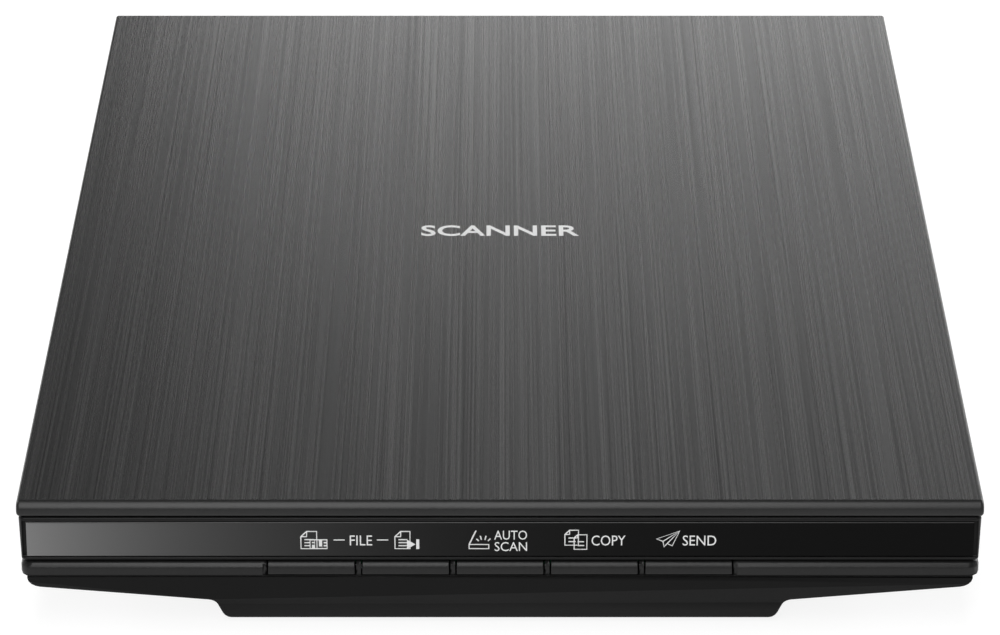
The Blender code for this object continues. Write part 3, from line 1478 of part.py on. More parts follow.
def build():
    clear_scene()
    black = material("satin_black_plastic", (0.022, 0.022, 0.024), 0.45)
    brushed = material("brushed_black_plastic", (0.07, 0.07, 0.075), 0.38)
    gloss = material("gloss_black_panel", (0.006, 0.006, 0.007), 0.08)
    rubber = material("rubber", (0.02, 0.02, 0.02), 0.9)
    steel = material("steel", (0.55, 0.56, 0.58), 0.3, metallic=1.0)
    white = material("white_sheet", (0.85, 0.85, 0.84), 0.6)
    foam = material("foam", (0.6, 0.6, 0.58), 0.95)
    tape = material("black_tape", (0.01, 0.01, 0.01), 0.8)
    clear = material("clear_glass", (0.85, 0.92, 0.9), 0.03, alpha=0.3)
    nylon = material("white_nylon", (0.78, 0.77, 0.72), 0.5)
    green = material("circuit_board", (0.03, 0.16, 0.08), 0.5)
    ribbon_white = material("ribbon_cable", (0.7, 0.7, 0.68), 0.5)
    chip = material("chip_black", (0.02, 0.02, 0.022), 0.5)
    lens = material("light_bar", (0.8, 0.83, 0.8), 0.15)

    lower_casing(black)
    upper_casing(black)
    platen(clear, tape, white)
    control_panel(gloss)
    button_board(green)
    guide_shaft(steel)
    for end in ("front", "rear"):
        shaft_clip(end, steel)
    drive_rack(nylon)
    main_board(green)
    on_board("main_processor", BOARD_WIDTH / 2, PROCESSOR_BACK, PROCESSOR, chip)
    on_board("ribbon_socket", CARRIAGE_RIBBON_SIDE, MM, SOCKET, ribbon_white)
    usb_port(steel)
    panel_ribbon(ribbon_white)
    carriage_ribbon(ribbon_white)
    for side, sign in SIDES.items():
        lid_bumper(side, sign, rubber)
        for end, y in screw_rows().items():
            casing_screw(end, side, sign, y, steel)
        for end, y in foot_rows().items():
            rubber_foot(end, side, sign, y, rubber)

    axis = (0, AXIS_Y, AXIS_Z)
    posts = [hinge_post(side, sign, black) for side, sign in SIDES.items()]
    pins = [hinge_pin(side, sign, steel) for side, sign in SIDES.items()]
    body("hinge_posts", axis, posts + pins)
    lid = [lid_cover(brushed), lid_liner(black), *lid_mat(foam, white)]
    lid += [hinge_bracket(side, sign, black) for side, sign in SIDES.items()]
    body("lid", axis, lid)

    for name, x in zip(BUTTON_NAMES, button_centres()):
        body(name + "_body", (x, BUTTON_FRONT, switch_z()), [button(name, x, black)])
    body("transport_lock_body", (LOCK_X, HOME_Y + LOCK_FORWARD, FLOOR), [transport_lock(black)])

    carriage = [carriage_frame(black), scan_motor(steel), gear_axle(steel)]
    carriage += [bushing(end, nylon) for end in ("front", "rear")]
    carriage += [lift_spring(side, sign, steel) for side, sign in SIDES.items()]
    body("carriage", (0, HOME_Y, SHAFT_Z), carriage)
    body("sensor_head", (0, HOME_Y, SENSOR_LOW), sensor_head(black, lens, lens, green, nylon))
    body("drive_gear_body", (GEAR_X, HOME_Y, WHEEL_LOW), [drive_gear(nylon)])
    body("motor_pinion_body", (*motor_place(), WHEEL_LOW), [motor_pinion(steel)])


build()
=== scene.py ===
# %% [markdown]
# # A flatbed scanner
#
# The scanner's frame is already modelled: every rigid piece, every hinge and every slide. This notebook
# gives it its looks. The lid's film is brushed, the label panel is polished, the casing is moulded with a
# fine grain, and the workings under the glass have the finishes that such parts really have.
#
# Everything is in metres. The scanner stands on Z = 0 with its buttons towards -Y.

# %% Load the frame
import json
import math

import bmesh
import bpy
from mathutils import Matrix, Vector

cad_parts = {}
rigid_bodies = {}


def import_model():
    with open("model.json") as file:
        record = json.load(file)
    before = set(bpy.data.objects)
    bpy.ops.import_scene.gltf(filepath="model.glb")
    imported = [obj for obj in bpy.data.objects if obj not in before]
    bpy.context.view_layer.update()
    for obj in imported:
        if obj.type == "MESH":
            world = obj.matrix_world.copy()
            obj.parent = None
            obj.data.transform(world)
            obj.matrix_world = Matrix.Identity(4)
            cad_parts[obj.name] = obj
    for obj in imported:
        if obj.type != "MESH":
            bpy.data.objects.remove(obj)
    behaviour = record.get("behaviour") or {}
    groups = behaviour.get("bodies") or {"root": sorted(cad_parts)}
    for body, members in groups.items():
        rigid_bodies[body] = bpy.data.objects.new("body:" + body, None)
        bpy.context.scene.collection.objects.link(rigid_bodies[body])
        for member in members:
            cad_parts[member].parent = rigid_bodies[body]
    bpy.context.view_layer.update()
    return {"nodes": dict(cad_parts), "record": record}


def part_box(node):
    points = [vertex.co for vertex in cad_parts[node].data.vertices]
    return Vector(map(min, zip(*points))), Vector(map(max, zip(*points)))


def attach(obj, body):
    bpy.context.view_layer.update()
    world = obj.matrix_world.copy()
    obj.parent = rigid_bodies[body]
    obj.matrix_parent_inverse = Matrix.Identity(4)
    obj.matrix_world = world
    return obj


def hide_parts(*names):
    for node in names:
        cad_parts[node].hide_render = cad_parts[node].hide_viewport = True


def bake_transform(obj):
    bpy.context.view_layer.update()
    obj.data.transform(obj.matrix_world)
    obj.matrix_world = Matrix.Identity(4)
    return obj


for starter in list(bpy.data.objects):
    bpy.data.objects.remove(starter)

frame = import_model()
MM = 0.001

# %% [markdown]
# ## Sums on shader sockets
#
# A finish that changes over a surface is a small calculation: noise, stretched and added up. Blender does
# such sums with Math nodes, which are slow to read as a list. So one class wraps a socket and lets Python's
# own operators add the nodes, and a second one holds a material while it is being made.


# %% The sum class
class Number:
    """A socket that carries one number. Sums on it add Math nodes."""

    def __init__(self, finish, socket):
        self.finish = finish
        self.socket = socket

    def sum(self, operation, first, second):
        return self.finish.node("ShaderNodeMath", {"operation": operation}, {0: first, 1: second})

    def __add__(self, other):
        return self.sum("ADD", self, other)

    def __radd__(self, other):
        return self.sum("ADD", other, self)

    def __sub__(self, other):
        return self.sum("SUBTRACT", self, other)

    def __rsub__(self, other):
        return self.sum("SUBTRACT", other, self)

    def __mul__(self, other):
        return self.sum("MULTIPLY", self, other)

    def __rmul__(self, other):
        return self.sum("MULTIPLY", other, self)

    def __rpow__(self, other):
        return self.sum("POWER", other, self)


# %% [markdown]
# A finish is one material with one shader. The class keeps both, and its methods add the few kinds of node
# that all the finishes need: stretched noise, a ramp, a mix of two colours and a bump.

# %% The finish class
class Finish:
    """A material with a Principled shader, and short ways to add the nodes that feed it."""

    def __init__(self, name, color, roughness, **constants):
        self.material = bpy.data.materials.new(name)
        self.material.use_nodes = True
        self.tree = self.material.node_tree
        self.shader = self.tree.nodes["Principled BSDF"]
        self.set("Base Color", (*color, 1.0))
        self.set("Roughness", roughness)
        for key, value in constants.items():
            self.set(key.replace("_", " ").title().replace("Ior", "IOR"), value)
        self.material.diffuse_color = (*color, 1.0)

    def set(self, socket_name, value):
        self.feed(self.shader.inputs[socket_name], value)

    def feed(self, socket, value):
        if isinstance(value, Number):
            self.tree.links.new(value.socket, socket)
        else:
            socket.default_value = value

    def node(self, kind, settings, values, output=0):
        """Adds one node: its settings first, then the values or links of its sockets."""
        made = self.tree.nodes.new(kind)
        for key, value in settings.items():
            setattr(made, key, value)
        for key, value in values.items():
            self.feed(made.inputs[key], value)
        return Number(self, made.outputs[output])

    def place(self, stretch=(1.0, 1.0, 1.0)):
        """The point on the piece in metres, stretched along each axis."""
        point = self.node("ShaderNodeTexCoord", {}, {}, "Object")
        return self.node("ShaderNodeMapping", {}, {"Vector": point, "Scale": stretch})

    def axis(self, name):
        point = self.node("ShaderNodeTexCoord", {}, {}, "Object")
        return self.node("ShaderNodeSeparateXYZ", {}, {0: point}, name)

    def noise(self, stretch, detail=2.0, rough=0.5):
        values = {"Vector": self.place(stretch), "Scale": 1.0, "Detail": detail, "Roughness": rough}
        return self.node("ShaderNodeTexNoise", {}, values, "Fac")

    def ramp(self, value, low, high, to_low=0.0, to_high=1.0):
        """value's span from low to high, eased and clamped to run from to_low to to_high."""
        settings = {"interpolation_type": "SMOOTHSTEP"}
        values = {"Value": value, 1: low, 2: high, 3: to_low, 4: to_high}
        return self.node("ShaderNodeMapRange", settings, values)

    def mix(self, share, first, second):
        """A colour between two colours."""
        settings = {"data_type": "RGBA"}
        return self.node("ShaderNodeMix", settings, {0: share, 6: first, 7: second}, 2)

    def bump(self, height, depth, strength=1.0):
        """Raises the surface by up to depth metres."""
        values = {"Height": height, "Distance": depth, "Strength": strength}
        self.set("Normal", self.node("ShaderNodeBump", {}, values))


def grey(level):
    return (level, level, level, 1.0)


print("ready to mix finishes")

# %% [markdown]
# ## The lid's brushed film
#
# The lid's top carries a dark film printed and embossed with hairlines that run from front to back. Three
# noises make them, each stretched along Y: hairlines, threads that are a little wider and longer, and slow
# bands across the whole lid. A fourth, nearly even noise adds a fine sand. The hairlines also lift the
# surface by up to a few hundredths of a millimetre, which breaks the sheen into threads.


# %% Brushed film
def brushed_film():
    film = Finish("brushed_film", (0.1, 0.1, 0.1), 0.3, metallic=1.0)
    hair = film.noise((3600.0, 4.0, 1.0), detail=2.0, rough=0.7)
    thread = film.noise((1600.0, 1.6, 1.0), detail=2.0)
    band = film.noise((130.0, 1.0, 1.0), detail=2.0)
    sand = film.noise((1300.0, 900.0, 1.0), detail=1.0)
    tone = 0.46 * hair + 0.28 * thread + 0.08 * band + 0.18 * sand
    film.set("Base Color", film.mix(film.ramp(tone, 0.3, 0.7), grey(0.03), grey(0.22)))
    film.set("Roughness", 0.235 + 0.07 * thread)
    film.bump(hair, 0.00003, 0.3)
    return film.material


# %% [markdown]
# ## Moulded black plastics
#
# The casing is one dark plastic with two surfaces. The lid's rim, the band with the buttons and the bezel
# are satin: a fine spark-eroded grain. The bezel's copy is a little darker and less glossy, as painted shade
# from the lid above it. The hull below them is duller. A noise at the grain's size gives both the bump and a
# slight change of gloss.


# %% Moulded plastics
def moulded(name, level, roughness, grain, depth, specular=0.5):
    plastic = Finish(name, (level, level, level * 1.03), roughness, specular_ior_level=specular)
    pits = plastic.noise((grain, grain, grain), detail=2.0, rough=0.6)
    cloud = plastic.noise((38.0, 38.0, 38.0), detail=2.0)
    tone = plastic.ramp(0.6 * pits + 0.4 * cloud, 0.3, 0.7)
    plastic.set("Base Color", plastic.mix(tone, grey(level * 0.82), grey(level * 1.18)))
    plastic.set("Roughness", roughness - 0.05 + 0.1 * pits)
    plastic.bump(pits, depth, 0.5)
    return plastic.material


# %% [markdown]
# ## The polished label panel
#
# The panel is gloss black. A grey at its left end that dies away to the right is a painted reflection of
# light.
# It is smooth, so the only unevenness is a trace of dust and faint wiping marks in its gloss.


# %% Gloss panel
REFLECTION_FADE_LENGTH = 38.0 * MM
EULER = 2.718


def gloss_panel(left):
    """Gloss black, with a painted reflection: a grey that dies away to the right of the place called left."""
    panel = Finish("gloss_panel", (0.006, 0.006, 0.006), 0.08, specular_ior_level=0.05)
    away = (panel.axis("X") - left) * (1 / REFLECTION_FADE_LENGTH)
    painted_reflection = EULER ** (0 - away)
    wiping = panel.noise((60.0, 60.0, 400.0), detail=3.0)
    # The grey at the left end is a painted reflection of light, fading out to the right.
    panel.set("Base Color", panel.mix(painted_reflection, grey(0.0018), grey(0.158)))
    panel.set("Roughness", 0.05 + 0.06 * wiping)
    return panel.material


# %% [markdown]
# ## The plain finishes
#
# Ink, rubber, steel, nylon and the rest each cover small pieces. They still get the trait that tells them
# apart: steel is drawn along its length, rubber is dusty, foam has cells and a circuit board has tracks.


# %% Small finishes
def ink(name, level):
    paint = Finish(name, (level, level, level), 0.5)
    spread = paint.noise((900.0, 900.0, 900.0))
    paint.set("Base Color", paint.mix(spread, grey(level * 0.92), grey(min(level * 1.05, 0.95))))
    return paint.material


def silver_inlay():
    foil = Finish("silver_inlay", (0.72, 0.72, 0.73), 0.34, metallic=0.35)
    grain = foil.noise((1500.0, 60.0, 1500.0))
    foil.set("Base Color", foil.mix(grain, grey(0.66), grey(0.8)))
    foil.set("Roughness", 0.3 + 0.1 * grain)
    return foil.material


def rubber():
    dusty = Finish("rubber", (0.02, 0.02, 0.02), 0.85)
    dust = dusty.noise((400.0, 400.0, 400.0), detail=4.0)
    dusty.set("Base Color", dusty.mix(dusty.ramp(dust, 0.4, 0.8), grey(0.016), grey(0.045)))
    dusty.set("Roughness", 0.78 + 0.15 * dust)
    return dusty.material


def drawn_steel():
    steel = Finish("drawn_steel", (0.56, 0.57, 0.58), 0.3, metallic=1.0)
    lines = steel.noise((1800.0, 30.0, 1800.0), detail=2.0)
    steel.set("Roughness", 0.2 + 0.2 * lines)
    steel.set("Base Color", steel.mix(lines, (0.46, 0.47, 0.48, 1), (0.64, 0.64, 0.65, 1)))
    return steel.material


def nylon():
    gear = Finish("white_nylon", (0.76, 0.75, 0.7), 0.45, subsurface_weight=0.15)
    milky = gear.noise((150.0, 150.0, 150.0), detail=2.0)
    gear.set("Base Color", gear.mix(milky, (0.7, 0.69, 0.64, 1), (0.82, 0.81, 0.77, 1)))
    gear.set("Roughness", 0.38 + 0.12 * milky)
    return gear.material


def white_film():
    film = Finish("white_film", (0.5, 0.5, 0.49), 0.5)
    weave = film.noise((700.0, 700.0, 700.0), detail=3.0)
    film.set("Base Color", film.mix(weave, (0.47, 0.47, 0.465, 1), (0.54, 0.54, 0.535, 1)))
    film.set("Roughness", 0.45 + 0.12 * weave)
    film.bump(weave, 0.00003, 0.4)
    return film.material


def foam():
    open_cell = Finish("foam", (0.62, 0.61, 0.58), 0.95)
    cells = open_cell.node(
        "ShaderNodeTexVoronoi", {}, {"Vector": open_cell.place((1600.0, 1600.0, 1600.0)), "Scale": 1.0}
    )
    open_cell.set("Base Color", open_cell.mix(cells, (0.68, 0.67, 0.64, 1), (0.4, 0.39, 0.37, 1)))
    open_cell.bump(1 - cells, 0.0002, 0.6)
    return open_cell.material


def clear_glass():
    pane = Finish(
        "clear_glass", (0.93, 0.97, 0.95), 0.0, transmission_weight=1.0, ior=1.5, specular_ior_level=0.5
    )
    return pane.material


def light_bar():
    acrylic = Finish("light_bar", (0.82, 0.86, 0.84), 0.12, transmission_weight=0.4, ior=1.49)
    haze = acrylic.noise((30.0, 300.0, 300.0))
    acrylic.set("Roughness", 0.08 + 0.12 * haze)
    return acrylic.material


def circuit_board():
    board = Finish("circuit_board", (0.02, 0.13, 0.06), 0.4, coat_weight=0.4)
    point = board.place((420.0, 420.0, 1.0))
    lanes = board.node("ShaderNodeTexBrick", {}, {"Vector": point, "Scale": 1.0, "Mortar Size": 0.06}, "Fac")
    tracks = board.ramp(board.noise((260.0, 40.0, 1.0), detail=0.0), 0.5, 0.54)
    copper = lanes * tracks
    board.set("Base Color", board.mix(copper, (0.012, 0.1, 0.045, 1), (0.04, 0.24, 0.11, 1)))
    board.bump(copper, 0.00004)
    return board.material


def ribbon_cable():
    cable = Finish("ribbon_cable", (0.75, 0.75, 0.73), 0.35)
    pitch = 1000.0 * 2 * math.pi
    waves = cable.node("ShaderNodeMath", {"operation": "SINE"}, {0: cable.axis("X") * pitch})
    wires = cable.ramp(waves, -0.3, 0.3)
    cable.set("Base Color", cable.mix(wires, (0.8, 0.8, 0.79, 1), (0.48, 0.49, 0.52, 1)))
    cable.bump(wires, 0.00005)
    return cable.material


FINISHES = {
    "brushed_black_plastic": moulded("satin_rim", 0.010, 0.38, 1500.0, 0.00003, 0.27),
    "satin_black_plastic": moulded("satin_black", 0.007, 0.38, 1500.0, 0.00003, 0.26),
    # The bezel's darker, less glossy copy of the satin plastic is painted shade from the lid's overhang.
    "dark_bezel": moulded("dark_bezel", 0.006, 0.42, 1500.0, 0.00003, 0.14),
    "panel_edge": moulded("panel_edge", 0.012, 0.3, 1500.0, 0.00001, 0.3),
    "matt_black_hull": moulded("matt_hull", 0.0045, 0.55, 1100.0, 0.00005, 0.035),
    "brushed_film": brushed_film(),
    "gloss_black_panel": gloss_panel(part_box("control_panel")[0].x),
    "white_ink": ink("white_ink", 0.62),
    "black_ink": ink("black_ink", 0.01),
    "silver_inlay": silver_inlay(),
    "rubber": rubber(),
    "steel": drawn_steel(),
    "white_sheet": white_film(),
    "foam": foam(),
    "black_tape": moulded("black_tape", 0.01, 0.7, 700.0, 0.00002),
    "clear_glass": clear_glass(),
    "white_nylon": nylon(),
    "circuit_board": circuit_board(),
    "ribbon_cable": ribbon_cable(),
    "chip_black": moulded("chip_black", 0.018, 0.5, 2000.0, 0.00002),
    "light_bar": light_bar(),
}
print(len(FINISHES), "finishes")

# %% [markdown]
# ## Finishes for the frame's own pieces
#
# Most of the workings keep their modelled shape. Each piece's record names a slot, so one loop gives every
# piece the finish for its slot.

# %% Coat the frame
for entry in frame["record"]["subparts"]:
    piece = frame["nodes"][entry["node"]]
    piece.data.materials.clear()
    piece.data.materials.append(FINISHES[entry["material_slot"]])

# %% [markdown]
# ## Modelling by hand, in code
#
# The pieces in plain sight are modelled again with more care than the frame needs: a cube of the right size,
# then edges picked by their place and rounded. These helpers do what a hand does in edit mode.


# %% Edit mode helpers
def activate(obj):
    bpy.ops.object.select_all(action="DESELECT")
    obj.select_set(True)
    bpy.context.view_layer.objects.active = obj


def block(name, low, high):
    """A box between two corners, with its place in its mesh."""
    low, high = Vector(low), Vector(high)
    bpy.ops.object.select_all(action="DESELECT")
    bpy.ops.mesh.primitive_cube_add(size=1, location=(low + high) / 2, scale=high - low)
    obj = bpy.context.object
    obj.name = name
    obj.data.name = name
    bpy.ops.object.transform_apply(location=True, rotation=True, scale=True)
    return obj


def pick(obj, kind, test):
    """Opens edit mode with only the edges or faces selected that pass a test."""
    activate(obj)
    bpy.ops.object.mode_set(mode="EDIT")
    bpy.ops.mesh.select_mode(type=kind)
    bpy.ops.mesh.select_all(action="DESELECT")
    mesh = bmesh.from_edit_mesh(obj.data)
    for element in mesh.edges if kind == "EDGE" else mesh.faces:
        if test(element):
            element.select_set(True)
    mesh.select_flush_mode()
    bmesh.update_edit_mesh(obj.data)


def round_edges(obj, test, radius, segments):
    pick(obj, "EDGE", test)
    bpy.ops.mesh.bevel(
        offset=radius, offset_type="OFFSET", segments=segments, profile=0.5, affect="EDGES", clamp_overlap=True
    )
    bpy.ops.object.mode_set(mode="OBJECT")


def upright(edge):
    along = edge.verts[1].co - edge.verts[0].co
    return abs(along.z) > 0.9 * along.length


def press(obj, cutter):
    """Cuts one piece's shape out of another, and throws the cutter away."""
    activate(obj)
    step = obj.modifiers.new("press", "BOOLEAN")
    step.operation = "DIFFERENCE"
    step.object = cutter
    bpy.ops.object.modifier_apply(modifier=step.name)
    bpy.data.objects.remove(cutter)


def weld(obj):
    """Merges doubled corners and turns every face outwards."""
    activate(obj)
    bpy.ops.object.mode_set(mode="EDIT")
    bpy.ops.mesh.select_all(action="SELECT")
    bpy.ops.mesh.remove_doubles(threshold=0.000001)
    bpy.ops.mesh.normals_make_consistent(inside=False)
    bpy.ops.object.mode_set(mode="OBJECT")


def smooth(obj, angle=35):
    """Shades the rounds smooth and keeps the flats flat."""
    activate(obj)
    bpy.ops.object.shade_smooth_by_angle(angle=math.radians(angle))
    step = obj.modifiers.new("flat faces stay flat", "WEIGHTED_NORMAL")
    step.keep_sharp = True
    bpy.ops.object.modifier_apply(modifier=step.name)


def settle(obj, finish, body, *nodes):
    """Gives a piece its finish, and lets it ride on its body in place of the nodes it stands for."""
    obj.data.materials.clear()
    obj.data.materials.append(FINISHES[finish])
    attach(obj, body)
    if nodes:
        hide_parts(*nodes)
    return obj


# %% [markdown]
# ## The lid
#
# The lid is one moulding: a flat top over a shallow rim. Its front edge is a generous nose, and the other
# three are only eased. A plane with a thickness could carry such edges too, but a block is simpler: the nose
# is rounded first, over the whole width, and then the outline of each end and the rear edges. The underside is
# inset and pushed in, and a pocket is pressed out for each hinge.

# %% Lid shell
lid_low, lid_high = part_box("lid_cover")
INLAY = 0.06 * MM
lid_top = lid_high.z - INLAY
RIM = 1.8 * MM
SKIN = 1.5 * MM
NOSE_TOP = 2.4 * MM
NOSE_LOW = 1.4 * MM
EASE = 0.9 * MM
HINGE_ROOM = 0.6 * MM


def lies_at(axis, place, reach=1e-6):
    """A test for edges that lie in one plane across an axis."""
    return lambda edge: all(abs(vert.co[axis] - place) < reach for vert in edge.verts)


def both(first, second):
    return lambda edge: first(edge) and second(edge)


def either(first, second):
    return lambda edge: first(edge) or second(edge)


lid_shell = block("lid_shell", lid_low, (lid_high.x, lid_high.y, lid_top))
at_front = lies_at(1, lid_low.y)
round_edges(lid_shell, both(at_front, lies_at(2, lid_top)), NOSE_TOP, 10)
round_edges(lid_shell, both(at_front, lies_at(2, lid_low.z)), NOSE_LOW, 6)
ends = either(lies_at(0, lid_low.x), lies_at(0, lid_high.x))
at_rear = lies_at(1, lid_high.y)
rear_rows = both(at_rear, either(lies_at(2, lid_low.z), lies_at(2, lid_top)))
round_edges(lid_shell, either(ends, rear_rows), EASE, 4)
pick(lid_shell, "FACE", lambda face: face.normal.z < -0.99)
bpy.ops.mesh.inset(thickness=RIM - EASE)
bpy.ops.mesh.extrude_region_move(
    TRANSFORM_OT_translate={"value": (0, 0, lid_high.z - SKIN - lid_low.z)}
)
bpy.ops.object.mode_set(mode="OBJECT")

for side in ("left", "right"):
    bracket_low, bracket_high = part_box(f"hinge_bracket_{side}")
    pocket = block(
        f"hinge_pocket_{side}",
        (bracket_low.x - HINGE_ROOM, lid_high.y - 2 * RIM, lid_low.z - RIM),
        (bracket_high.x + HINGE_ROOM, lid_high.y + RIM, lid_high.z - SKIN - 0.1 * MM),
    )
    press(lid_shell, pocket)
smooth(lid_shell)
settle(lid_shell, "brushed_black_plastic", "lid", "lid_cover")

# The film covers the flat top only, so it takes the second material slot there.
lid_shell.data.materials.append(FINISHES["brushed_film"])
for face in lid_shell.data.polygons:
    if face.normal.z > 0.999 and face.center.z > lid_top - 0.01 * MM:
        face.material_index = 1
print("lid:", len(lid_shell.data.polygons), "faces")

# %% [markdown]
# ## The two casings
#
# The casings are already the right shape, but their triangles are loose. A copy is welded, so that its rounds
# can be shaded smooth, and later steps can cut and reshape it. The frame's own piece must not be changed.


# %% Casings
def mould(node, name, finish, body):
    """A welded, smoothly shaded copy of a frame node, which then stands for it."""
    original = frame["nodes"][node]
    copy = bpy.data.objects.new(name, original.data.copy())
    bpy.context.scene.collection.objects.link(copy)
    activate(copy)
    bpy.ops.object.mode_set(mode="EDIT")
    bpy.ops.mesh.select_all(action="SELECT")
    bpy.ops.mesh.remove_doubles(threshold=0.000001)
    bpy.ops.object.mode_set(mode="OBJECT")
    smooth(copy)
    return settle(copy, finish, body, node)


# The bezel takes the darker copy of the plastic: painted shade under the lid.
bezel = mould("upper_casing", "bezel_casing", "dark_bezel", "base")
tray = mould("lower_casing", "bottom_casing", "satin_black_plastic", "base")
print("casings:", len(bezel.data.polygons), "and", len(tray.data.polygons), "faces")

# %% [markdown]
# ## The rounded band
#
# The band with the buttons is a fuller round than the frame has. It could be bevelled again, but the button
# holes interrupt its edge. Instead its front is sliced into narrow rows, and whatever stands in front of the
# new round is pressed back to it. A groove under the band then throws the dark line that parts it from the
# hull.

# %% Band
BAND_TOP = 25.0 * MM
BAND_LOW = 20.2 * MM
BAND_ROUND = 3.1 * MM
OLD_ROUND = 2.2 * MM
BAND_CORNER = 3.0 * MM
band_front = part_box("copy_button")[0].y
band_half = max(vert.co.x for vert in tray.data.vertices)


def round_back(height, radius):
    """How far a round of this radius lies behind the band's front at a height."""
    rise = max(height - (BAND_TOP - radius), 0)
    return radius - math.sqrt(max(radius**2 - rise**2, 0))


def in_band(point):
    return point.y < band_front + BAND_ROUND + 0.1 * MM and BAND_LOW < point.z < BAND_TOP + 0.05 * MM


for step in range(1, 9):
    angle = math.radians(10 * step)
    row = BAND_TOP - BAND_ROUND * (1 - math.sin(angle))
    pick(tray, "FACE", lambda face: any(in_band(vert.co) for vert in face.verts))
    bpy.ops.mesh.bisect(plane_co=(0, 0, row), plane_no=(0, 0, 1), threshold=1e-7)
    bpy.ops.object.mode_set(mode="OBJECT")

for vert in tray.data.vertices:
    if not in_band(vert.co):
        continue
    new = round_back(vert.co.z, BAND_ROUND)
    beyond = (abs(vert.co.x) - (band_half - BAND_CORNER)) / BAND_CORNER
    if beyond <= 0:
        vert.co.y = max(vert.co.y, band_front + new)
    else:
        share = math.sqrt(max(1 - beyond**2, 0))
        vert.co.y += share * (new - round_back(vert.co.z, OLD_ROUND))


GROOVE_TOP = BAND_LOW - 0.55 * MM
GROOVE = 0.6 * MM
hull_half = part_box("lower_casing")[1].x - 1.4 * MM
groove = block(
    "groove",
    (-hull_half - MM, band_front, GROOVE_TOP - GROOVE),
    (hull_half + MM, -band_front, GROOVE_TOP),
)
core = block(
    "groove_core",
    (-hull_half + 0.7 * MM, band_front + 2.7 * MM, GROOVE_TOP - MM),
    (hull_half - 0.7 * MM, -band_front - 3.0 * MM, GROOVE_TOP + MM),
)
press(groove, core)
press(tray, groove)
smooth(tray)
print("band: sliced, rolled and grooved,", len(tray.data.polygons), "faces")

# %% [markdown]
# The hull below the band is duller than the band itself. The small round under the band takes the same dark,
# dull finish as painted shade under the band. Their faces take the second material slot.

# %% Hull finish
tray.data.materials.append(FINISHES["matt_black_hull"])
LOW_ROUND = 0.55 * MM
for face in tray.data.polygons:
    # Faces low on the band's round get the hull's dark finish: painted shade under the band.
    hull_or_painted_shade = face.center.z < BAND_LOW + LOW_ROUND and face.normal.z < 0.9
    face.material_index = 1 if hull_or_painted_shade else 0

# %% [markdown]
# ## The label panel
#
# A strip of polished plastic, let into the casing. Its front edges have a small round, whose upper one shows
# as a thin bright line.

# %% Label panel
panel_low, panel_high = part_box("control_panel")
SIDE_LINE = Vector((0.35 * MM, 0, 0))
label_panel = block("label_panel", panel_low + SIDE_LINE, panel_high - SIDE_LINE)
PANEL_ROUND = 0.25 * MM
round_edges(label_panel, lies_at(1, panel_low.y), PANEL_ROUND, 4)
smooth(label_panel)
settle(label_panel, "gloss_black_panel", "base", "control_panel")
label_panel.data.materials.append(FINISHES["panel_edge"])
for face in label_panel.data.polygons:
    if face.center.y < panel_low.y + PANEL_ROUND + 0.05 * MM and 0.15 < face.normal.z < 0.99:
        face.material_index = 1
print("panel:", len(label_panel.data.polygons), "faces")

# %% [markdown]
# ## The pad under the lid
#
# A thin foam pad hangs under the lid and presses a white film on the document. The foam is a block whose
# edges are rounded. It is then sliced into a grid and swollen a little by soft clouds, since foam is never
# dead flat. The film below it is a thin plate with eased edges.

# %% Foam pad and white film
foam_low, foam_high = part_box("mat_foam")
SOFT = Vector((0.5, 0.5, 0.1)) * MM  # how far the foam stays inside its box
SLICES = 24
foam_pad = block("foam_pad", foam_low + SOFT, foam_high - SOFT)
round_edges(foam_pad, upright, 3.0 * MM, 5)
round_edges(foam_pad, lambda edge: not upright(edge), 0.35 * MM, 3)
pick(foam_pad, "FACE", lambda face: True)
for step in range(1, SLICES):
    for axis in range(2):
        place = foam_low.lerp(foam_high, step / SLICES)
        bpy.ops.mesh.select_all(action="SELECT")
        bpy.ops.mesh.bisect(plane_co=place, plane_no=(1 - axis, axis, 0))
bpy.ops.object.mode_set(mode="OBJECT")
clouds = bpy.data.textures.new("foam_clouds", "CLOUDS")
clouds.noise_scale = 0.05
step = foam_pad.modifiers.new("swell", "DISPLACE")
step.texture = clouds
step.texture_coords = "LOCAL"
step.direction = "Z"
step.strength = 2 * SOFT.z
activate(foam_pad)
bpy.ops.object.modifier_apply(modifier=step.name)
smooth(foam_pad, 50)
settle(foam_pad, "foam", "lid", "mat_foam")

mat_low, mat_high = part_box("document_mat")
white_mat = block("white_mat", mat_low, mat_high)
round_edges(white_mat, upright, 2.5 * MM, 6)
round_edges(white_mat, either(lies_at(2, mat_low.z), lies_at(2, mat_high.z)), 0.12 * MM, 2)
smooth(white_mat)
settle(white_mat, "white_sheet", "lid", "document_mat")
print("pad:", [round(length / MM, 1) for length in foam_high - foam_low], "mm")

# %% [markdown]
# ## The carriage's flat cable
#
# A flat cable runs from the main board to the carriage. It starts as a plane whose far edge is pulled along
# the cable's route, one short step at a time, and the sheet then gets its thickness. It lies on the floor and
# turns over in a loop, since it must follow the carriage.


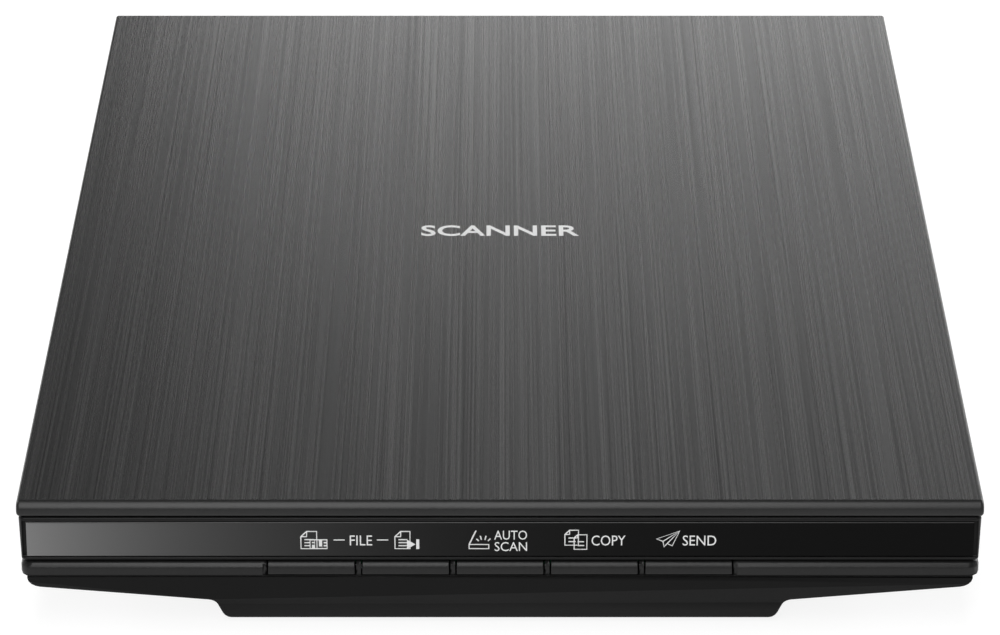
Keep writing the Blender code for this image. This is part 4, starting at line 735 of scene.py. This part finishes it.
# %% Flat cable
def strip(name, route, middle, width, thickness):
    """A flat cable along (y, z) points in metres, centred on x = middle."""
    (y0, z0), (y1, z1) = route[:2]
    bpy.ops.object.select_all(action="DESELECT")
    bpy.ops.mesh.primitive_plane_add(size=1, location=(middle, y0, z0))
    obj = bpy.context.object
    obj.name = name
    corners = [(middle - width / 2, y0, z0), (middle + width / 2, y0, z0)]
    corners += [(middle - width / 2, y1, z1), (middle + width / 2, y1, z1)]
    for vert, corner in zip(obj.data.vertices, corners):
        vert.co = Vector(corner) - obj.location
    bpy.ops.object.transform_apply(location=True, rotation=True, scale=True)
    here = Vector((0, y1, z1))
    far_edge = both(lies_at(1, y1, 1e-7), lies_at(2, z1, 1e-7))
    pick(obj, "EDGE", far_edge)
    for y, z in route[2:]:
        there = Vector((0, y, z))
        bpy.ops.mesh.extrude_region_move(TRANSFORM_OT_translate={"value": there - here})
        here = there
    bpy.ops.object.mode_set(mode="OBJECT")
    step = obj.modifiers.new("thickness", "SOLIDIFY")
    step.thickness = thickness
    step.offset = 0
    bpy.ops.object.modifier_apply(modifier=step.name)
    weld(obj)
    smooth(obj, 30)
    return obj


ribbon_low, ribbon_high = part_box("carriage_ribbon")
RIBBON = 0.24 * MM
LOOP = 7.0 * MM
floor_z = ribbon_low.z + RIBBON
loop_y = ribbon_low.y + LOOP + RIBBON
top_z = floor_z + 2 * LOOP
CARRIAGE_END = -148.0 * MM
BOARD_END = 8.6 * MM  # height of the socket on the main board
DESCENT, FLOOR_RUN, TURN, TOP_RUN = 4, 12, 32, 5  # steps in each stretch of the route

route = [(ribbon_high.y - RIBBON, BOARD_END)]
for i in range(1, DESCENT + 1):
    drop = (BOARD_END - floor_z) * i / DESCENT
    route.append((ribbon_high.y - 2 * MM - i * MM, BOARD_END - drop))
landing = route[-1][0]
for i in range(1, FLOOR_RUN + 1):
    route.append((landing + (loop_y - landing) * i / FLOOR_RUN, floor_z))
for i in range(1, TURN + 1):
    turn = math.pi * i / TURN
    route.append((loop_y - LOOP * math.sin(turn), floor_z + LOOP * (1 - math.cos(turn))))
for i in range(1, TOP_RUN + 1):
    route.append((loop_y + (CARRIAGE_END - loop_y) * i / TOP_RUN, top_z))
ribbon_x = (ribbon_low.x + ribbon_high.x) / 2
carriage_cable = strip("carriage_cable", route, ribbon_x, ribbon_high.x - ribbon_low.x, RIBBON)
carriage_cable.data.materials.clear()
carriage_cable.data.materials.append(FINISHES["ribbon_cable"])
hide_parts("carriage_ribbon")
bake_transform(carriage_cable)
print("carriage cable:", len(route), "points along it")

# %% [markdown]
# ## The lift springs
#
# Two small springs push the sensor up against the glass. They are copies of the frame's own springs.

# %% Lift springs
for side in ("left", "right"):
    node = f"lift_spring_{side}"
    spring = bpy.data.objects.new(f"squeezed_spring_{side}", frame["nodes"][node].data.copy())
    bpy.context.scene.collection.objects.link(spring)
    weld(spring)
    smooth(spring)
    spring.data.materials.clear()
    spring.data.materials.append(FINISHES["steel"])
    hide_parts(node)
    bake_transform(spring)
print("springs: 2")

# %% [markdown]
# ## The printed labels
#
# Words start as text objects, which Blender turns into meshes, and each is fitted to the room it has on the
# panel. The pictograms are drawn as strokes: a curve with a round section, which is then pressed flat on the
# panel like a thick layer of ink.

# %% Ink helpers
INK_DEPTH = 0.03 * MM
STROKE = 0.42 * MM
panel_face = panel_low.y


def fit(obj, low, high):
    """Stretches a mesh so that it fills the box between two corners."""
    points = [vert.co for vert in obj.data.vertices]
    start = Vector([min(p[i] for p in points) for i in range(3)])
    size = Vector([max(p[i] for p in points) for i in range(3)]) - start
    for vert in obj.data.vertices:
        for i in range(3):
            vert.co[i] = low[i] + (vert.co[i] - start[i]) / size[i] * (high[i] - low[i])


def stand_up(obj):
    """Turns a flat word or patch so that it reads from the front."""
    for vert in obj.data.vertices:
        vert.co = (vert.co.x, -vert.co.z, vert.co.y)


def word(name, body, left, low, right, high, finish="white_ink", depth=INK_DEPTH, bold=-0.002):
    """A word printed on the panel. Its rectangle is in metres on the panel's face."""
    bpy.ops.object.select_all(action="DESELECT")
    bpy.ops.object.text_add()
    text = bpy.context.object
    text.data.body = body
    text.data.extrude = 0.01
    text.data.offset = bold
    text.data.resolution_u = 3
    bpy.ops.object.convert(target="MESH")
    obj = bpy.context.object
    obj.name = name
    stand_up(obj)
    fit(obj, Vector((left, panel_face - depth, low)), Vector((right, panel_face + depth / 5, high)))
    weld(obj)
    return settle(obj, finish, "base")


def strokes(name, lines, width=STROKE, finish="white_ink"):
    """A pictogram: open or closed lines of (x, z) points in millimetres on the panel's face."""
    curve = bpy.data.curves.new(name, "CURVE")
    curve.dimensions = "3D"
    curve.bevel_depth = width / 2
    curve.bevel_resolution = 1
    curve.use_fill_caps = True
    for line in lines:
        spline = curve.splines.new("POLY")
        closed = line[0] == line[-1]
        corners = line[:-1] if closed else line
        spline.points.add(len(corners) - 1)
        spline.use_cyclic_u = closed
        for point, (x, z) in zip(spline.points, corners):
            point.co = (x * MM, 0, z * MM, 1)
    obj = bpy.data.objects.new(name, curve)
    bpy.context.scene.collection.objects.link(obj)
    activate(obj)
    bpy.ops.object.convert(target="MESH")
    bpy.ops.transform.resize(value=(1, 2 * INK_DEPTH / width, 1), center_override=(0, 0, 0))
    bpy.ops.transform.translate(value=(0, panel_face, 0))
    bpy.ops.object.transform_apply(location=True, rotation=True, scale=True)
    weld(obj)
    return settle(obj, finish, "base")


def patch(name, corners, finish="white_ink"):
    """A solid patch of ink: a flat curve filled in, given the ink's depth."""
    curve = bpy.data.curves.new(name, "CURVE")
    curve.dimensions = "2D"
    curve.fill_mode = "BOTH"
    curve.extrude = INK_DEPTH / 2
    spline = curve.splines.new("POLY")
    spline.points.add(len(corners) - 1)
    spline.use_cyclic_u = True
    for point, (x, z) in zip(spline.points, corners):
        point.co = (x * MM, z * MM, 0, 1)
    obj = bpy.data.objects.new(name, curve)
    obj.rotation_euler = (math.pi / 2, 0, 0)
    obj.location = (0, panel_face - INK_DEPTH / 2, 0)
    bpy.context.scene.collection.objects.link(obj)
    activate(obj)
    bpy.ops.object.convert(target="MESH")
    bpy.ops.object.transform_apply(location=True, rotation=True, scale=True)
    weld(obj)
    return settle(obj, finish, "base")


def page(left, low, wide, high, turned, lines):
    """The strokes of a page: an outline with a turned corner at the top left, and lines of writing."""
    right, top = left + wide, low + high
    outline = [
        (left, low),
        (right, low),
        (right, top),
        (left + turned, top),
        (left, top - turned),
        (left, low),
    ]
    corner = [(left, top - turned), (left + turned, top - turned), (left + turned, top)]
    gap = (high - turned) / (lines + 1)
    rows = [[(left + 0.9, low + gap * (i + 1)), (right - 0.7, low + gap * (i + 1))] for i in range(lines)]
    return [outline, corner, *rows]


# %% [markdown]
# ## The words and pictograms
#
# From left to right, over their buttons: scan to a file, end the file, automatic scan, copy and send.

# %% Labels
label_middle = (panel_low.z + panel_high.z) / 2
print("labels are centred on z =", round(label_middle / MM, 2), "mm")

strokes("file_page_icon", page(-51.55, 28.5, 4.1, 4.95, 1.5, 3), 0.38 * MM)
patch("file_tag", [(-49.3, 28.4), (-44.7, 28.4), (-44.7, 31.2), (-49.3, 31.2)])
word(
    "file_tag_word",
    "FILE",
    -49.1 * MM,
    28.7 * MM,
    -44.9 * MM,
    30.9 * MM,
    finish="black_ink",
    depth=2 * INK_DEPTH,
    bold=0.03,
)
strokes("file_dashes", [[(-43.1, 31.0), (-40.2, 31.0)], [(-31.9, 31.0), (-28.9, 31.0)]], 0.36 * MM)
word("file_word", "FILE", -38.9 * MM, 29.45 * MM, -33.1 * MM, 32.3 * MM)
strokes("finish_page_icon", page(-27.2, 28.5, 3.9, 4.95, 1.5, 3), 0.38 * MM)
patch("finish_arrow", [(-24.1, 28.4), (-21.9, 29.75), (-24.1, 31.1)])
patch("finish_bar", [(-21.7, 28.4), (-20.9, 28.4), (-20.9, 31.2), (-21.7, 31.2)])

scanner_icon = [
    [(-8.0, 28.5), (-2.9, 28.5), (-2.9, 29.7), (-8.0, 29.7), (-8.0, 28.5)],
    [(-8.0, 29.7), (-6.2, 33.7)],
    [(-6.1, 31.3), (-5.5, 30.7)],
    [(-5.1, 32.2), (-4.8, 31.0)],
    [(-3.6, 32.2), (-3.9, 31.0)],
    [(-2.5, 31.4), (-3.1, 30.7)],
]
strokes("auto_scan_icon", scanner_icon)
word("auto_word", "AUTO", -1.5 * MM, 31.1 * MM, 7.0 * MM, 33.7 * MM)
word("scan_word", "SCAN", -1.4 * MM, 27.8 * MM, 7.0 * MM, 30.4 * MM)

strokes("copy_back_icon", page(16.8, 29.5, 3.5, 4.3, 1.2, 2), 0.38 * MM)
strokes("copy_front_icon", page(19.2, 28.3, 3.3, 4.2, 0.9, 2), 0.38 * MM)
word("copy_word", "COPY", 23.7 * MM, 29.4 * MM, 32.5 * MM, 32.3 * MM)

plane_icon = [
    [(40.5, 31.3), (46.5, 33.6), (44.6, 29.3), (43.3, 30.0), (42.5, 29.0), (42.2, 30.6), (40.5, 31.3)],
    [(42.2, 30.6), (46.5, 33.6), (43.3, 30.0)],
]
strokes("send_icon", plane_icon, 0.36 * MM)
word("send_word", "SEND", 47.3 * MM, 29.4 * MM, 56.0 * MM, 32.3 * MM)

# %% [markdown]
# ## The buttons
#
# Five keys carry on the casing's rounded band. One is modelled: a block with a large round along its upper
# front edge and a small one below, softened ends, and a stem that is inset and pulled out of its back. The
# cap is only as deep as the switch behind it allows when it is pressed. The keys are copies of the first,
# each with its own mesh.

# %% Buttons
button_names = ["file_scan", "file_finish", "auto_scan", "copy", "send"]
key_low, key_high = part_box("file_scan_button")
TRAVEL = 0.8 * MM
STEM_WIDE = 4.0 * MM
STEM_HIGH = 2.4 * MM
SHOULDER = 0.9 * MM
room_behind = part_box("button_board")[0].y - key_low.y - TRAVEL
KEY_DEPTH = room_behind - 0.12 * MM
NOSE = KEY_DEPTH - 0.3 * MM
print("room behind a key's face:", round(room_behind / MM, 2), "mm")
STEM_PLAY = 0.08 * MM


def key_cap():
    """The first key: its nose, its softened ends, and the stem behind it."""
    key = block("key", key_low, (key_high.x, key_low.y + KEY_DEPTH, key_high.z))
    front = lies_at(1, key_low.y)
    round_edges(key, both(front, lies_at(2, key_high.z)), NOSE, 10)
    round_edges(key, both(front, lies_at(2, key_low.z)), 0.6 * MM, 5)
    round_edges(key, either(lies_at(0, key_low.x), lies_at(0, key_high.x)), 0.18 * MM, 3)
    pick(key, "FACE", lambda face: face.normal.y > 0.99)
    wide, high = key_high.x - key_low.x, key_high.z - key_low.z
    bpy.ops.mesh.inset(thickness=SHOULDER)
    across = STEM_WIDE / (wide - 2 * SHOULDER)
    upwards = STEM_HIGH / (high - 2 * SHOULDER)
    bpy.ops.transform.resize(value=(across, 1, upwards))
    reach = key_high.y - key_low.y - KEY_DEPTH - STEM_PLAY
    bpy.ops.mesh.extrude_region_move(TRANSFORM_OT_translate={"value": (0, reach, 0)})
    bpy.ops.object.mode_set(mode="OBJECT")
    smooth(key)
    print("key:", round(wide / MM, 1), "x", round(high / MM, 1), "mm")
    return key


pattern_key = key_cap()
for button_name in button_names:
    node = f"{button_name}_button"
    key = bpy.data.objects.new(f"{button_name}_key", pattern_key.data.copy())
    bpy.context.scene.collection.objects.link(key)
    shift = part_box(node)[0].x - key_low.x
    for vert in key.data.vertices:
        vert.co.x += shift
    settle(key, "satin_black_plastic", f"{node}_body", node)
bpy.data.objects.remove(pattern_key)

# %% [markdown]
# ## The nameplate on the lid
#
# Flat silver letters stand on the middle of the lid, a twentieth of a millimetre proud of the film. They
# only name the kind of machine. The text object gives a mesh, which is fitted to its place.

# %% Nameplate
NAME_WIDTH = 46.0 * MM
NAME_HEIGHT = 8.0 * MM

bpy.ops.object.select_all(action="DESELECT")
bpy.ops.object.text_add()
nameplate = bpy.context.object
nameplate.data.body = "SCANNER"
nameplate.data.extrude = 0.01
nameplate.data.offset = 0.016
nameplate.data.resolution_u = 4
bpy.ops.object.convert(target="MESH")
nameplate = bpy.context.object
nameplate.name = "nameplate"
fit(
    nameplate,
    Vector((-NAME_WIDTH / 2, -NAME_HEIGHT / 2, lid_top - INLAY)),
    Vector((NAME_WIDTH / 2, NAME_HEIGHT / 2, lid_high.z - INLAY / 5)),
)
weld(nameplate)
settle(nameplate, "silver_inlay", "lid")
print("nameplate:", len(nameplate.data.polygons), "faces")

# %% [markdown]
# ## Floor, lights and camera
#
# The floor is pale and glows a little, so that it stays even and bright. The object then needs no strong
# light from all round, which would wash out its blacks.

# %% Floor
bpy.ops.object.select_all(action="DESELECT")
bpy.ops.mesh.primitive_plane_add(size=14, location=(0, 2.0, 0))
floor = bpy.context.object
floor.name = "floor"
pale = Finish("pale_floor", (0.2, 0.2, 0.2), 0.9, specular_ior_level=0.0)
pale.set("Emission Color", (1.0, 1.0, 1.0, 1.0))
pale.set("Emission Strength", 0.88)
floor.data.materials.append(pale.material)

world = bpy.data.worlds.new("studio")
bpy.context.scene.world = world
world.use_nodes = True
world.node_tree.nodes["Background"].inputs["Color"].default_value = (1, 1, 1, 1)
world.node_tree.nodes["Background"].inputs["Strength"].default_value = 0.15


# %% [markdown]
# A wide, low softbox behind puts the sheen on the lid. A tall one in front lights the nose of the lid, the
# band and the keys. Four weaker ones stand round the scanner, so that its sides and back show their shape.

# %% Lights
def softbox(name, place, aim, size, power):
    """A rectangular lamp that faces the point it is aimed at."""
    light = bpy.data.lights.new(name, "AREA")
    light.shape = "RECTANGLE"
    light.size, light.size_y = size
    light.energy = power
    lamp = bpy.data.objects.new(name, light)
    lamp.location = place
    lamp.rotation_euler = (Vector(aim) - Vector(place)).to_track_quat("-Z", "Y").to_euler()
    bpy.context.scene.collection.objects.link(lamp)
    return lamp


softbox("rear_softbox", (0.88, 2.6, 0.5), (0.4, 0.1, 0), (2.4, 0.38), 16)
softbox("key_softbox", (-0.1, -1.03, 1.39), (0, -0.18, 0.03), (0.6, 2.4), 34)

for name, across, along, power in (
    ("back_left_softbox", -1.9, 1.7, 24),
    ("back_right_softbox", 2.1, 1.5, 24),
    ("front_left_softbox", -2.3, -0.6, 5),
    ("front_right_softbox", 2.3, -0.6, 5),
):
    softbox(name, (across, along, 0.9), (0, 0, 0.02), (0.9, 0.9), power)

# %% [markdown]
# The camera looks down at the front from over a metre away. Its long lens keeps the lid's perspective mild.

# %% Camera
camera_data = bpy.data.cameras.new("camera")
TILT = 23.53  # degrees below level
camera_data.lens = 178.3
camera_data.sensor_width = 36
camera = bpy.data.objects.new("camera", camera_data)
camera.location = (0, -1.3352, 0.5957)
camera.rotation_euler = (math.radians(90 - TILT), 0, 0)
bpy.context.scene.collection.objects.link(camera)
bpy.context.scene.camera = camera
bpy.context.scene.view_settings.view_transform = "Standard"
